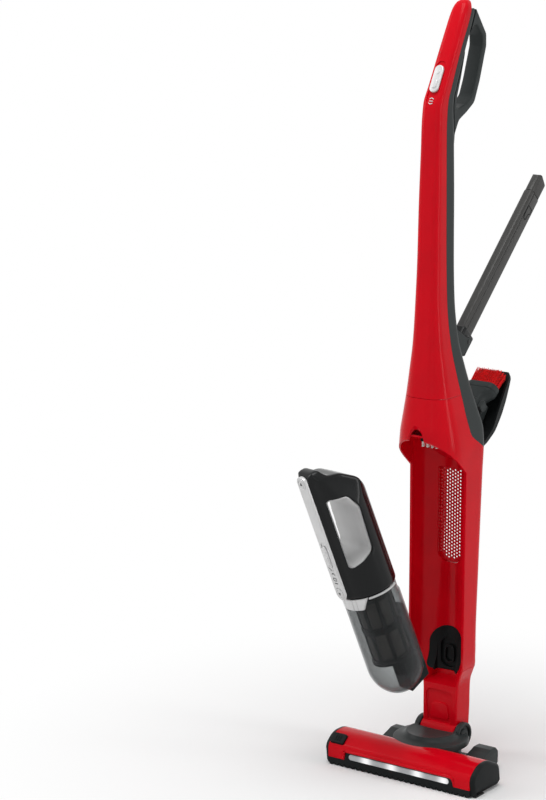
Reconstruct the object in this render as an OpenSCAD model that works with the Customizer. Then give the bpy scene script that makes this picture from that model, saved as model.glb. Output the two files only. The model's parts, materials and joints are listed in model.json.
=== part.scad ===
// Cordless two-in-one upright vacuum cleaner: floor nozzle, tilting neck, stick with a dock,
// hand unit swung out of the dock, and its tools on the back. Front is -Y, up is +Z.

/* [Nozzle] */
// Width of the floor nozzle
nozzle_w = 265; // [220:1:320]
// Depth of the floor nozzle from front to rear
nozzle_d = 77; // [70:1:88]
// Height of the floor nozzle
nozzle_h = 47; // [44:0.5:54]
// Wall of the moulded nozzle parts
nozzle_wall = 2.5; // [2:0.1:3.2]
// Gap between the nozzle body and the floor
floor_gap = 2.5; // [2:0.1:4]
// Thickness of an end cap
cap_t = 7; // [5:0.5:10]
// Width of the lamp window
lamp_w = 186; // [120:1:200]
// Height of the lamp window
lamp_h = 10; // [7:0.5:12]
// Radius of the brush roll with its bristles
roll_r = 17; // [14:0.5:18]
// Radius of a rear wheel
wheel_r = 14; // [10:0.5:15]
// Width of a rear wheel
wheel_w = 16; // [10:0.5:20]
// Distance of a rear wheel's middle from the centre line
wheel_x = 75; // [72:0.5:100]

/* [Turret] */
// Radius of the turret skirt
turret_r = 57; // [55:0.5:70]
// Radius of the round top disc
disc_r = 38; // [32:0.5:44]
// Height of the top disc over the floor
disc_z = 54; // [52:0.5:60]
// Distance of the swivel axis behind the nozzle's rear edge
swivel_y = 15; // [10:0.5:20]
// Distance of the tilt axis behind the nozzle's rear edge
tilt_y = 47; // [44:0.5:52]
// Height of the tilt axis
tilt_z = 44; // [42:0.5:48]
// Radius of the side ears
ear_r = 20; // [17:0.5:21]
// Thickness of an ear
ear_t = 9; // [6:0.5:10]
// Radius of the tilt pin
pin_r = 5; // [3.5:0.5:6]

/* [Dock and neck] */
// Half width of the neck
neck_w = 30; // [26:0.5:32]
// Half width of the dock
dock_w = 49; // [47:0.5:54]
// Radius of the trough that takes the hand unit
trough_r = 45.5; // [44.5:0.1:47]
// Distance of the trough axis behind the nozzle's rear edge
trough_y = 18; // [14:0.5:22]
// Front edge of the dock's side rims
rim_y = 24; // [20:0.5:28]
// Diameter of a grille hole
grille_d = 3.2; // [2:0.1:4.5]
// Pitch of the grille holes
grille_pitch = 7; // [6:0.25:9]

/* [Stick and handle] */
// Wall of the stick shells
stick_wall = 2.5; // [2:0.1:3]
// Thickness of the handle loop
loop_t = 11; // [8:0.5:13]
// Width of the handle loop
loop_w = 24; // [18:0.5:28]
// Length of the switch slider
switch_l = 40; // [30:1:46]
// Width of the switch slider
switch_w = 12; // [9:0.5:14]
// Travel of the switch slider to each side
switch_travel = 5; // [3:0.5:6]

/* [Hand unit] */
// Radius of the hand unit
unit_r = 43; // [40:0.1:43.2]
// Length of the hand unit
unit_l = 385; // [370:1:388]
// Height of the docked hand unit's lower end
unit_z = 120; // [118:0.5:124]
// Angle by which the hand unit is swung out of the dock
unit_swing = 28.2; // [0:0.2:34]
// Sideways share of that swing, as a turn of its axis
swing_turn = 22; // [18:1:26]
// Dip of the swing axis below the horizontal
swing_dip = 45; // [40:1:50]
// A point of the swing axis, across
swing_x = 82; // [70:1:95]
// The same point, front to back
swing_y = -80; // [-95:1:-65]
// The same point's height, under the floor
swing_z = -148; // [-165:1:-130]
// Wall of the dust container
container_wall = 2; // [1.5:0.1:2.5]
// Radius of the filter cage
filter_r = 30; // [26:0.5:33]
// Width of the silver strip on the grip
strip_w = 21; // [16:0.5:24]

/* [Tools on the back] */
// Angle by which the rear flap is open
flap_open = 55; // [0:1:60]
// Angle by which the crevice tool leans back
tool_lean = 46; // [6:1:55]
// Length of the crevice tool
tool_l = 325; // [240:5:330]
// Thickness of the crevice tool
tool_t = 16; // [13:0.5:18]
// Depth of the crevice tool
tool_d = 28; // [22:0.5:32]
// Half width of the dusting brush
brush_w = 27; // [22:0.5:28]

/* [Hidden] */

// Colours of the mouldings
red = [0.74, 0.02, 0.06];
black = [0.1, 0.1, 0.11];
grey = [0.27, 0.3, 0.3];
silver = [0.75, 0.75, 0.76];

// Clearances: a running shaft, a moving piece, a fixed piece in its recess
run_gap = 0.05;
move_gap = 0.4;
fit_gap = 0.2;
round_fn = 64;
corner_n = 6;

// Outline helpers: a unit vector, an arc, and a polygon whose corners are rounded
function unit(v) = v / norm(v);
function arc(c, r, a0, a1, n) =
    [for (i = [0:n]) c + r * [cos(a0 + (a1 - a0) * i / n), sin(a0 + (a1 - a0) * i / n)]];
function fillet(a, b, c, r, n) = r <= 0 ? [b] :
    let (u = unit(a - b), v = unit(c - b), half = acos(u * v) / 2,
         m = b + unit(u + v) * r / sin(half), s = b + u * r / tan(half) - m,
         a0 = atan2(s[1], s[0]), turn = cross(b - a, c - b) > 0 ? 1 : -1)
    arc(m, r, a0, a0 + turn * (180 - 2 * half), n);
function soft(pts, radii, n = 5) = [
    for (i = [0:len(pts) - 1])
        each fillet(pts[(i + len(pts) - 1) % len(pts)], pts[i], pts[(i + 1) % len(pts)],
                    is_list(radii) ? radii[i] : radii, n)];
function box_pts(x0, x1, y0, y1) = [[x0, y0], [x1, y0], [x1, y1], [x0, y1]];

// Extrusions along X of a side view (y, z), and along Y of a front view (x, z)
module along_x(x0, x1) { translate([x0, 0, 0]) rotate([90, 0, 90]) linear_extrude(x1 - x0) children(); }
module along_y(y0, y1) { translate([0, y1, 0]) rotate([90, 0, 0]) linear_extrude(y1 - y0) children(); }
module rod(r, x0, x1, y, z) { translate([x0, y, z]) rotate([0, 90, 0]) cylinder(r = r, h = x1 - x0,
    $fn = round_fn); }
module block(lo, hi) { translate(lo) cube(hi - lo); }
module capsule(w, l, h) {
    linear_extrude(h) polygon(soft(box_pts(-w / 2, w / 2, -l / 2, l / 2), w / 2 - 0.01, 10));
}

// Lofted shells: each row is height, half width, front, rear, front and rear corner radius
function ring(row, g) =
    let (w = row[1] - g, f = row[2] + g, b = row[3] - g, rf = max(row[4] - g, 1), rb = max(row[5] - g, 1))
    concat(arc([w - rb, b - rb], rb, 0, 90, corner_n), arc([rb - w, b - rb], rb, 90, 180, corner_n),
           arc([rf - w, f + rf], rf, 180, 270, corner_n), arc([w - rf, f + rf], rf, 270, 360, corner_n));
module loft(rows, g = 0) {
    n = 4 * (corner_n + 1);
    last = len(rows) - 1;
    points = [for (row = rows) for (p = ring(row, g)) [p[0], p[1], row[0]]];
    sides = [for (k = [0:last - 1]) for (i = [0:n - 1]) each [
        [k * n + i, (k + 1) * n + i, k * n + (i + 1) % n],
        [k * n + (i + 1) % n, (k + 1) * n + i, (k + 1) * n + (i + 1) % n]]];
    polyhedron(points, concat(sides, [[for (i = [0:n - 1]) i]],
        [[for (i = [0:n - 1]) last * n + n - 1 - i]]), convexity = 6);
}

// ---- Nozzle ----
half_w = nozzle_w / 2;
cover_x = half_w - cap_t;
rear_edge = 2;
front_edge = rear_edge - nozzle_d;
base_top = 12;
roll_y = front_edge + nozzle_wall + roll_r + 4;
roll_z = roll_r + 1;
chamber_rear = roll_y + roll_r + 1.5;
chamber_x = cover_x - 7;
motor_y = -15;
motor_z = 23;
wheel_y = 47;
pod_half = wheel_w / 2 + 7.25;
journal_r = 3;
axle_r = 2.5;
swivel_r = 8;
stem_r = 46;
skirt_z = 36.5;
face_angle = 38.3;

function nozzle_outline(g, z0) = soft([
    [front_edge + g, z0], [front_edge - 1 + g, 31], [front_edge + 19 + g / 2, nozzle_h - g],
    [front_edge + 45, nozzle_h - g], [rear_edge - 4 - g, 34 - g], [rear_edge - g, z0]],
    [0, 9 - g, 9 - g, 12, 7 - g, 0]);

module turret_room(g) {
    translate([0, swivel_y, skirt_z - g]) cylinder(r = turret_r + g, h = 40, $fn = round_fn);
    translate([0, swivel_y, base_top - 1]) cylinder(r = stem_r + g, h = 60, $fn = round_fn);
}
module on_button_face() {
    translate([-(cover_x - 13), front_edge + 9, 39.5]) rotate([face_angle, 0, 0]) children();
}
module nozzle_base() color(black) difference() {
    union() {
        block([-cover_x, front_edge + 6, floor_gap], [cover_x, rear_edge, base_top]);
        block([-stem_r - 8, rear_edge - 1, floor_gap], [stem_r + 8, swivel_y + stem_r - 2, base_top]);
        block([-chamber_x, chamber_rear, base_top - 1], [chamber_x, chamber_rear + 1.6, 20]);
    }
    block([-chamber_x, front_edge - 1, -1], [chamber_x, chamber_rear, 40]);
    translate([0, swivel_y, 0]) cylinder(r = swivel_r + run_gap, h = 60, $fn = round_fn);
    block([chamber_x - 12, chamber_rear - 1, 8], [chamber_x, chamber_rear + 4, 40]);
}
module front_lip() color(black) {
    teeth = 26;
    pitch = 2 * cover_x / teeth;
    along_y(front_edge, front_edge + 5.8) polygon(concat(
        [[-cover_x, base_top - 0.2], [-cover_x, floor_gap + 1.5]],
        [for (i = [0:teeth - 1]) each arc([-cover_x + (i + 0.5) * pitch, floor_gap + 1.5],
            pitch / 2 - 0.8, 180, 360, 8)],
        [[cover_x, floor_gap + 1.5], [cover_x, base_top - 0.2]]));
}
module nozzle_cover() color(red) difference() {
    along_x(-cover_x, cover_x) polygon(nozzle_outline(0, base_top));
    along_x(-cover_x - 1, cover_x + 1) polygon(nozzle_outline(nozzle_wall, base_top - 1));
    turret_room(1);
    block([-lamp_w / 2, front_edge - 5, 13], [lamp_w / 2, front_edge + 5, 13 + lamp_h]);
    on_button_face() block([-9.4, -8.4, -9], [9.4, 8.4, 9]);
}
module end_cap(side) color(black) {
    mirror([side < 0 ? 1 : 0, 0, 0]) difference() {
        union() {
            along_x(cover_x, half_w) polygon(soft([
                [front_edge + 3, floor_gap], [front_edge - 1, 31], [front_edge + 19, nozzle_h],
                [front_edge + 45, nozzle_h], [rear_edge - 4, 34], [rear_edge, 8],
                [rear_edge - 8, floor_gap]], [2, 9, 9, 12, 7, 4, 3]));
            rod(5.5, chamber_x, cover_x + 1, roll_y, roll_z);
        }
        rod(journal_r + run_gap, chamber_x - 1, half_w - 2.5, roll_y, roll_z);
    }
}
module end_cap_left() end_cap(-1);
module end_cap_right() end_cap(1);
module lamp_lens() color([0.9, 0.92, 0.95]) difference() {
    block([-lamp_w / 2 + fit_gap, front_edge - 0.5, 13 + fit_gap],
          [lamp_w / 2 - fit_gap, front_edge + nozzle_wall, 13 + lamp_h - fit_gap]);
    block([-lamp_w / 2 + 3, front_edge + 1, 15], [lamp_w / 2 - 3, front_edge + 5, 11 + lamp_h]);
}
module lamp_board() color([0.1, 0.35, 0.15]) {
    block([-lamp_w / 2 + 4, front_edge + nozzle_wall, 13], [lamp_w / 2 - 4,
        front_edge + nozzle_wall + 1, 13 + lamp_h]);
    for (i = [-3:3]) block([i * 25 - 2, front_edge + 1.4, 17], [i * 25 + 2, front_edge + nozzle_wall, 20]);
}
module roll_motor() color(silver) {
    rod(10, turret_r + 4, chamber_x - 10, motor_y, motor_z);
    rod(5, chamber_x - 10, chamber_x - 2, motor_y, motor_z);
    block([turret_r + 6, motor_y - 8, base_top], [chamber_x - 14, motor_y + 8, motor_z]);
}
module drive_belt() color(black) along_x(chamber_x - 8, chamber_x - 3) difference() {
    hull() belt_ends(1.6);
    hull() belt_ends(0);
}
module belt_ends(g) {
    translate([roll_y, roll_z]) circle(r = 6 + move_gap + g, $fn = 32);
    translate([motor_y, motor_z]) circle(r = 5 + fit_gap + g, $fn = 32);
}
module rear_legs() color(grey) for (side = [-1, 1]) difference() {
    along_x(side * wheel_x - pod_half, side * wheel_x + pod_half) polygon(soft([
        [rear_edge, 4], [rear_edge, 21], [32, 31], [40, 34], [55, 34], [62, 27], [62, 9], [56, 4]],
        [0, 2, 5, 3, 4, 4, 3, 3]));
    rod(wheel_r + 1.5, side * wheel_x - wheel_w / 2 - 1, side * wheel_x + wheel_w / 2 + 1, wheel_y,
        wheel_r);
    rod(axle_r, side * wheel_x - pod_half + 2, side * wheel_x + pod_half - 2, wheel_y, wheel_r);
}
module wheel_axles() color(silver) for (side = [-1, 1])
    rod(axle_r, side * wheel_x - pod_half + 2, side * wheel_x + pod_half - 2, wheel_y, wheel_r);
module wheel(side) color(grey) difference() {
    rod(wheel_r, side * wheel_x - wheel_w / 2, side * wheel_x + wheel_w / 2, wheel_y, wheel_r);
    rod(axle_r + run_gap, side * wheel_x - 20, side * wheel_x + 20, wheel_y, wheel_r);
}
module wheel_left() wheel(-1);
module wheel_right() wheel(1);
module floor_glides() color([0.2, 0.2, 0.2]) {
    block([-20, -8, 0], [20, 8, floor_gap]);
    for (side = [-1, 1]) block([side * 62 - 45, chamber_rear + 1, 0], [side * 62 + 45,
        chamber_rear + 5, floor_gap]);
    for (side = [-1, 1]) block([side * (half_w - 3.5) - 3, front_edge + 8, 0], [side * (half_w - 3.5)
        + 3, front_edge + 30, floor_gap]);
}
module brush_roll() color([0.55, 0.05, 0.07]) {
    rod(roll_r - 6, -chamber_x + 8, chamber_x - 12, roll_y, roll_z);
    rod(6, chamber_x - 12, chamber_x - 1, roll_y, roll_z);
    rod(journal_r, -half_w + 3, half_w - 3, roll_y, roll_z);
}
module roll_bristles() color([0.15, 0.15, 0.15])
    translate([-chamber_x + 9, roll_y, roll_z]) rotate([0, 90, 0])
    linear_extrude(2 * chamber_x - 22, twist = 300, slices = 18) difference() {
        union() {
            square([2 * roll_r, 3.5], center = true);
            square([3.5, 2 * roll_r], center = true);
        }
        circle(r = roll_r - 6 + fit_gap, $fn = round_fn);
    }
module release_button() color([0.18, 0.19, 0.2]) on_button_face() {
    linear_extrude(3.2) polygon(soft(box_pts(-9, 9, -8, 8), 2));
    for (i = [-1:1]) translate([0, i * 4, 3.2]) block([-5, -0.6, 0], [5, 0.6, 0.5]);
    translate([0, 0, -5]) cylinder(r = 5, h = 6, $fn = 32);
}

// ---- Turret ----
barrel_r = ear_r - 1;
ear_in = neck_w + 1;
ear_out = ear_in + ear_t;
module turret() color(grey) difference() {
    union() {
        difference() {
            translate([0, swivel_y, 0]) rotate_extrude($fn = 96) polygon([
                [0, base_top + 0.3], [stem_r, base_top + 0.3], [stem_r, skirt_z], [turret_r, skirt_z],
                [turret_r, nozzle_h - 2], [turret_r - 1, nozzle_h - 0.5], [turret_r - 8, nozzle_h + 0.6],
                [disc_r + 6, nozzle_h + 2.6], [disc_r + 1, disc_z - 2], [disc_r, disc_z],
                [disc_r - 3, disc_z + 0.6], [disc_r - 7, disc_z], [0, disc_z - 0.6]]);
            block([-ear_in, tilt_y - 22, base_top + 6], [ear_in, 100, 90]);
            block([-80, tilt_y, base_top - 1], [80, 100, 90]);
            rod(barrel_r + 3, -ear_in, ear_in, tilt_y, tilt_z);
        }
        for (side = [-1, 1]) rod(ear_r, side > 0 ? ear_in : -ear_out, side > 0 ? ear_out : -ear_in,
            tilt_y, tilt_z);
        translate([0, swivel_y, floor_gap + 1]) cylinder(r = swivel_r, h = base_top, $fn = round_fn);
    }
    rod(pin_r, -ear_out - 1, ear_out + 1, tilt_y, tilt_z);
    for (side = [-1, 1]) rod(ear_r - 5, side > 0 ? ear_out - 1.5 : -ear_out - 1,
        side > 0 ? ear_out + 1 : -ear_out + 1.5, tilt_y, tilt_z);
    translate([0, swivel_y, 0]) cylinder(r = swivel_r - 2, h = base_top + 20, $fn = round_fn);
}
module tilt_pin() color(silver) rod(pin_r, -ear_out + 1, ear_out - 1, tilt_y, tilt_z);

// ---- Neck and dock ----
neck_front = 36;
neck_rear = 80;
seam_z = 150;
neck_rows = [
    [52, neck_w, neck_front + 1, neck_rear - 2, 4, 8], [90, neck_w, neck_front, neck_rear, 4, 8],
    [120, neck_w + 1, neck_front, neck_rear, 5, 9], [135, 36, 34, 79, 6, 10],
    [seam_z, 43, 29, 76, 6, 12]];
dock_rows = [
    [seam_z, 43, 29, 76, 6, 12], [165, 47, 25.5, 73, 4, 16], [180, dock_w - 0.4, rim_y + 0.4, 71.5, 3, 17],
    [195, dock_w, rim_y, 71.5, 3, 18], [300, dock_w, rim_y, 75.5, 3, 18],
    [450, dock_w + 0.5, rim_y, 81.8, 3, 18], [501, dock_w + 1, rim_y, 83.4, 3, 18]];
funnel_low = unit_z - 1.5;
grille_low = 305;
grille_high = 452;
grille_w = 21;

// The room that the docked hand unit takes, with the funnel for its heel
module dock_hollow() {
    dome_z = unit_z + 55;
    translate([0, trough_y, dome_z - 0.5]) cylinder(r = trough_r, h = 500, $fn = 96);
    intersection() {
        translate([0, trough_y, dome_z]) rotate_extrude($fn = 96) polygon(concat([[0, 1]],
            [for (i = [0:12]) [trough_r * cos(-7.5 * i), 56 * sin(-7.5 * i)]]));
        block([-60, -40, unit_z - 20], [60, 100, dome_z + 1]);
    }
    intersection() {
        translate([0, 0, funnel_low - 6]) linear_extrude(60) polygon([[-34, 15], [34, 15], [22, 62],
            [-22, 62]]);
        along_x(-50, 50) polygon([[10, funnel_low - 3], [36, funnel_low + 2.5], [70,
            funnel_low + 12.5], [70, 200], [10, 200]]);
    }
}
module neck_barrel() color(red) difference() {
    rod(barrel_r, -neck_w, neck_w, tilt_y, tilt_z);
    rod(pin_r + run_gap, -neck_w - 1, neck_w + 1, tilt_y, tilt_z);
}
module neck() color(red) difference() {
    loft(neck_rows);
    rod(barrel_r, -60, 60, tilt_y, tilt_z);
    translate([0, 58, 60]) cylinder(r = 14, h = 48, $fn = round_fn);
    dock_hollow();
    socket_room();
    translate([0, 56, 107]) cylinder(r = 10, h = 26, $fn = round_fn);
    along_y(neck_front - 5, neck_front + 3) polygon(soft(box_pts(-23, 23, 66, 112), 8));
}
module neck_duct() color(black) translate([0, 58, 63.6]) difference() {
    cylinder(r = 13.6, h = 44, $fn = round_fn);
    translate([0, 0, -1]) cylinder(r = 11.6, h = 60, $fn = round_fn);
}
module dock_shell() color(red) difference() {
    intersection() {
        loft(dock_rows);
        front_part();
    }
    dock_hollow();
    block([-grille_w, 50, grille_low], [grille_w, 100, grille_high]);
    socket_room();
    rear_holes(3.2 + run_gap);
}
module air_grille() color(red) difference() {
    block([-grille_w + fit_gap, 64.5, grille_low + fit_gap], [grille_w - fit_gap, 67,
        grille_high - fit_gap]);
    cols = floor((2 * grille_w - 4) / grille_pitch);
    lines = floor((grille_high - grille_low - 8) / grille_pitch);
    for (i = [0:cols - 1]) for (j = [0:lines - 1])
        translate([(i - (cols - 1) / 2) * grille_pitch, 60,
                   grille_low + 6 + (j + (i % 2) / 2) * grille_pitch])
            rotate([-90, 0, 0]) cylinder(d = grille_d, h = 10, $fn = 16);
}
socket_w = 21;
module socket_room() { block([-socket_w, 50, 136], [socket_w, 67.5, 196]); }
module dock_socket() color(black) difference() {
    along_y(58, 67.3) polygon(soft(box_pts(-socket_w + fit_gap, socket_w - fit_gap, 136.5, 195.5), [2,
        2, 18, 18]));
    translate([0, trough_y, 100]) cylinder(r = trough_r, h = 200, $fn = 96);
    along_y(60, 65.5) polygon(soft(box_pts(-14, 14, 143, 186), 12));
}
module rear_holes(r) {
    for (side = [-1, 1]) for (z = [215, 290, 465]) translate([side * 34, 66, z]) rotate([-90, 0, 0]) {
        cylinder(r = r, h = 30, $fn = 32);
        translate([0, 0, -8]) cylinder(r = r / 2, h = 12, $fn = 32);
    }
}
module rear_screws() color(silver) for (side = [-1, 1]) for (z = [215, 290, 465])
    translate([side * 34, 66, z]) rotate([-90, 0, 0]) difference() {
        union() {
            cylinder(r = 3.2, h = 2.6, $fn = 32);
            translate([0, 0, -7]) cylinder(r = 1.6, h = 8, $fn = 32);
        }
        translate([-2.2, -0.5, 1.8]) cube([4.4, 1, 2]);
        translate([-0.5, -2.2, 1.8]) cube([1, 4.4, 2]);
    }

// ---- Head, stick and handle ----
lean_z = 1003;
lean_y = -8;
lean_k = 0.536;
lean = atan(lean_k);
function handle_front(z) = lean_y + lean_k * (z - lean_z);
stick_rows = [
    [452, 50.5, -36, 82, 44, 18], [490, 50.5, -36, 83.4, 44, 18], [514, 48.5, -36, 83, 43, 17],
    [547, 42, -32, 75, 35, 16], [575, 36.5, -28.6, 67, 29, 16], [609, 31, -24.6, 57, 22, 15],
    [655, 24.5, -21.5, 46, 16, 14], [714, 20.5, -19.5, 39.8, 12, 13], [772, 19, -17.5, 38.8, 11, 13],
    [860, 18, -15.7, 38.8, 10, 13], [930, 17, -13.8, 38, 10, 13], [975, 16.5, -12, 36.5, 9, 13],
    [992, 16, -10.6, 35.6, 9, 12], [lean_z, 16, lean_y, 36.5, 9, 12], [1020, 15.5, handle_front(1020),
        43, 9, 11],
    [1072, 15, handle_front(1072), 66, 9, 11], [1127, 14, handle_front(1127), 92, 9, 10],
    [1135, 12, 64, 90, 8, 9], [1140, 9, 68, 86, 7, 7], [1143, 4.5, 73, 82, 4, 4]];
shell_rows = [for (row = stick_rows) if (row[0] < 1130) row];
parting = [[90, 476], [60, 496], [37, 514], [27, 573], [16, 640], [10.5, 713], [9, 860], [9, 955],
    [14, 1003], [22, 1020], [46, 1072], [76, 1128], [84, 1150]];

// The head ends where the shell starts to taper
head_seam = stick_rows[4][0] - 2;

module front_part() {
    along_x(-80, 80) polygon(concat([for (p = parting) p], [[-90, 1150], [-90, 100], [90, 100]]));
}
module rear_part(g) {
    along_x(-80, 80) polygon(concat([for (p = parting) p + [g, 0]], [[200, 1150], [200, 476]]));
}
module stick_shell(z0, z1) {
    intersection() {
        difference() {
            loft(stick_rows);
            loft(shell_rows, stick_wall);
        }
        block([-80, -90, z0], [80, 200, z1]);
    }
}
lip = [[-60, 512], [-36, 512], [rim_y - 0.2, 458], [rim_y - 0.2, 501.3], [120, 501.3], [120, 700],
    [-60, 700]];
module head_cover() color(red) difference() {
    intersection() {
        stick_shell(450, head_seam);
        front_part();
        along_x(-80, 80) polygon(lip);
    }
    translate([0, -44, 512]) rotate([20, 0, 0]) cylinder(r = 16, h = 26, center = true, $fn = 48);
}
roof_low = [[-32, 515.5], [-6, 513], [26, 501], [50, 483], [63.5, 464]];
module dock_roof() color(red) difference() {
    intersection() {
        along_x(-48, 48) polygon(concat(roof_low, [[66, 466], [52, 486], [27, 504], [-6, 516], [-32,
            518.5]]));
        loft([for (row = stick_rows) if (row[0] < 560) row], stick_wall + fit_gap);
    }
    difference() {
        loft(dock_rows, -fit_gap);
        translate([0, trough_y, 300]) cylinder(r = trough_r, h = 300, $fn = 96);
    }
}
module contact_block() color(black) along_x(-16, 16) polygon([[0, 502], [11, 502], [11, 506.6], [0,
    510.7]]);
module charge_contacts() color([0.9, 0.9, 0.88])
    for (i = [-1.5:1:1.5]) block([i * 8 - 1.6, 0.5, 494], [i * 8 + 1.6, 4, 502]);
module stick_front() color(red) difference() {
    union() {
        stick_front_shell();
        // Cradles for the core tube, and two posts for the switch board
        for (cradle = [[core_low + 37, -21.4], [core_high - 48, -12.5]])
            block([-9, cradle[1], cradle[0]], [9, 4, cradle[0] + 14]);
        on_handle() for (z = [7, 58]) block([-3, 1, z], [3, 10, z + 4]);
    }
    translate([0, core_y, core_low - 10])
        cylinder(r = core_r + 0.02, h = core_high - core_low + 20, $fn = round_fn);
    on_handle() translate([0, 0, switch_s - switch_l / 2 + 4]) block([-2.5, -1, -switch_travel], [2.5,
        6, switch_l - 8 + switch_travel]);
}
core_y = 8;
core_r = 8;
core_low = 593;
core_high = 973;
module stick_front_shell() {
    intersection() {
        stick_shell(head_seam + 0.3, 1150);
        front_part();
    }
}
module rear_shell() color(grey) difference() {
    intersection() {
        stick_shell(479, 1150);
        rear_part(0.2);
    }
    block([-brush_w - 2.5, 20, 497], [brush_w + 2.5, 120, 608]);
    block([-14, 66, 470], [14, 120, 497.1]);
}
loop_out = [[78, 1143], [94, 1127.5], [104, 1113], [121, 1092], [121.5, 1074], [105, 1024], [92, 995],
    [72, 981],
    [50, 970], [39, 953], [37, 930], [33, 930]];
module handle_loop() color(grey) intersection() {
    along_x(-loop_w / 2, loop_w / 2) difference() {
        polygon(soft(concat(loop_out, [[33, 1000], [58, 1072]]), [0, 6, 6, 12, 12, 30, 20, 14, 16, 14,
            0, 0, 0, 0]));
        polygon(soft([[66.5 + loop_t / 2, 1088], [91, 1106], [121 - loop_t, 1088], [121.5 - loop_t, 1074],
            [105 - loop_t, 1026], [90 - loop_t * 0.6, 1003], [66, 992.5], [30 + loop_t, 988],
                [33 + loop_t, 1000], [46 + loop_t, 1030]],
            [6, 6, 6, 12, 25, 16, 12, 5, 9, 20]));
    }
    along_x(-60, 60) polygon([[36.7, 900], [38.4, 931], [37, 975], [36.1, 992], [37, lean_z], [43.6,
        1020], [66.5, 1072],
        [92.4, 1127.5], [130, 1127.5], [150, 1000], [150, 900]]);
}
module stick_core() color(silver) translate([0, core_y, core_low]) difference() {
    cylinder(r = core_r, h = core_high - core_low, $fn = round_fn);
    translate([0, 0, -1]) cylinder(r = core_r - 1.5, h = core_high, $fn = round_fn);
}
switch_s = 34;
module on_handle() { translate([0, lean_y, lean_z]) rotate([-lean, 0, 0]) children(); }
module switch_board() color([0.1, 0.35, 0.15]) on_handle() block([-9, 10, 6], [9, 11.6, 63]);
module switch_slider() color([0.85, 0.85, 0.86]) on_handle() translate([0, 0, switch_s]) {
    rotate([90, 0, 0]) translate([0, 0, 0.4]) capsule(switch_w, switch_l, 3);
    block([-2, -0.5, -switch_l / 2 + 6], [2, 5, switch_l / 2 - 6]);
}

// ---- Rear flap with the dusting brush ----
flap_y = 88;
flap_z = 478;
knuckle_r = 4;
module opened() { translate([0, flap_y, flap_z]) rotate([-flap_open, 0, 0]) translate([0, -flap_y,
    -flap_z]) children(); }
flap_in = [[84.6, 488], [84.6, 514], [76.2, 547], [68.2, 575], [61, 601], [58, 612]];
module flap_panel() color(black) opened() difference() {
    union() {
        intersection() {
            along_x(-60, 60) polygon(concat(flap_in, [[60.8, 613.5], [71.5, 593], [81.5, 570], [88.5, 545],
                [91.6, 520], [91, 500], [88, 486]]));
            along_y(40, 120) polygon(soft([[-34, 480], [34, 480], [35, 520], [brush_w + 1, 613.5],
                [-brush_w - 1, 613.5], [-35, 520]], [6, 6, 8, 8, 8, 8]));
        }
        rod(knuckle_r, -11, 11, flap_y, flap_z);
        along_x(-11, 11) polygon([[flap_y - 3, flap_z], [flap_y + 3.9, flap_z], [88, 492], [84.6, 492]]);
    }
    rod(2 + run_gap, -12, 12, flap_y, flap_z);
}
module flap_pin() color(silver) rod(2, -17.5, 17.5, flap_y, flap_z);
module brush_holder() color(grey) opened() difference() {
    along_x(-brush_w - 1, brush_w + 1) polygon(soft([[48, 527], [83.2, 518], [84.4, 514], [71.3, 563],
        [42, 563], [42, 539]], [6, 0, 0, 0, 2, 4]));
    along_x(-brush_w - 2, -8) polygon(soft([[36, 512], [58, 512], [60, 537], [50, 547], [36, 547]], [0,
        0, 8, 6, 0]));
}
module dusting_brush() color([0.16, 0.16, 0.17]) opened()
    translate([0, 0, 563]) linear_extrude(11) polygon(soft(box_pts(-brush_w, brush_w, 42, 68), 9));
module dusting_bristles() color([0.85, 0.05, 0.05]) opened()
    for (j = [0:2]) for (i = [0:8]) translate([(i - 4) * (brush_w - 4) / 4, 44.5 + j * 6.5, 574])
        cylinder(r1 = 2, r2 = 2.4, h = 28, $fn = 16);

// ---- Crevice tool in its clip ----
clip_y = 76;
clip_z = 642;
module leaned() { translate([0, clip_y, clip_z]) rotate([-tool_lean, 0, 0]) children(); }
module tool_bracket() color(grey) {
    difference() {
        union() {
            for (side = [-1, 1]) {
                along_x(side > 0 ? 13 : -17, side > 0 ? 17 : -13) polygon(soft([[51, 622], [59, 622],
                    [clip_y + 6, clip_z - 4],
                    [clip_y + 6, clip_z + 5], [clip_y - 4, clip_z + 7], [45.5, 665]], [0, 3, 4, 4, 4, 0]));
            }
        }
        rod(2.5 + run_gap, -20, 20, clip_y, clip_z);
        loft([for (row = stick_rows) if (row[0] > 560 && row[0] < 800) row]);
    }
    for (side = [-1, 1]) along_x(side > 0 ? 11.5 : -17.5, side > 0 ? 17.5 : -11.5) difference() {
        polygon([[83.2, flap_z - 5], [flap_y - 1, flap_z - 6], [flap_y + 4, flap_z - 3], [flap_y + 4,
            flap_z + 3], [flap_y, flap_z + 4], [83.2, flap_z + 4]]);
        translate([flap_y, flap_z]) circle(r = 2, $fn = 32);
    }
}
module tool_clip() color(black) leaned() {
    difference() {
        translate([0, 0, -16]) linear_extrude(32) polygon(soft(box_pts(-12.4, 12.4, -17, 17), 4));
        block([-tool_t / 2 - 0.35, -tool_d / 2 - 0.35, -12], [tool_t / 2 + 0.35, tool_d / 2 + 0.35, 30]);
    }
    for (side = [-1, 1]) rod(2.5, side > 0 ? 12 : -17.5, side > 0 ? 17.5 : -12, 0, 0);
}
module crevice_tool() color([0.24, 0.23, 0.22]) leaned() translate([0, 0, -11.6]) difference() {
    linear_extrude(tool_l) polygon(soft(box_pts(-tool_t / 2, tool_t / 2, -tool_d / 2, tool_d / 2), 5));
    translate([0, 0, -1]) linear_extrude(tool_l + 2) polygon(soft(box_pts(-tool_t / 2 + 2,
        tool_t / 2 - 2, -tool_d / 2 + 2, tool_d / 2 - 2), 3));
    translate([0, 0, tool_l - 36]) difference() {
        linear_extrude(1.2) square([40, 60], center = true);
        linear_extrude(1.2) polygon(soft(box_pts(-tool_t / 2 + 0.7, tool_t / 2 - 0.7,
            -tool_d / 2 + 0.7, tool_d / 2 - 0.7), 4.4));
    }
}

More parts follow.
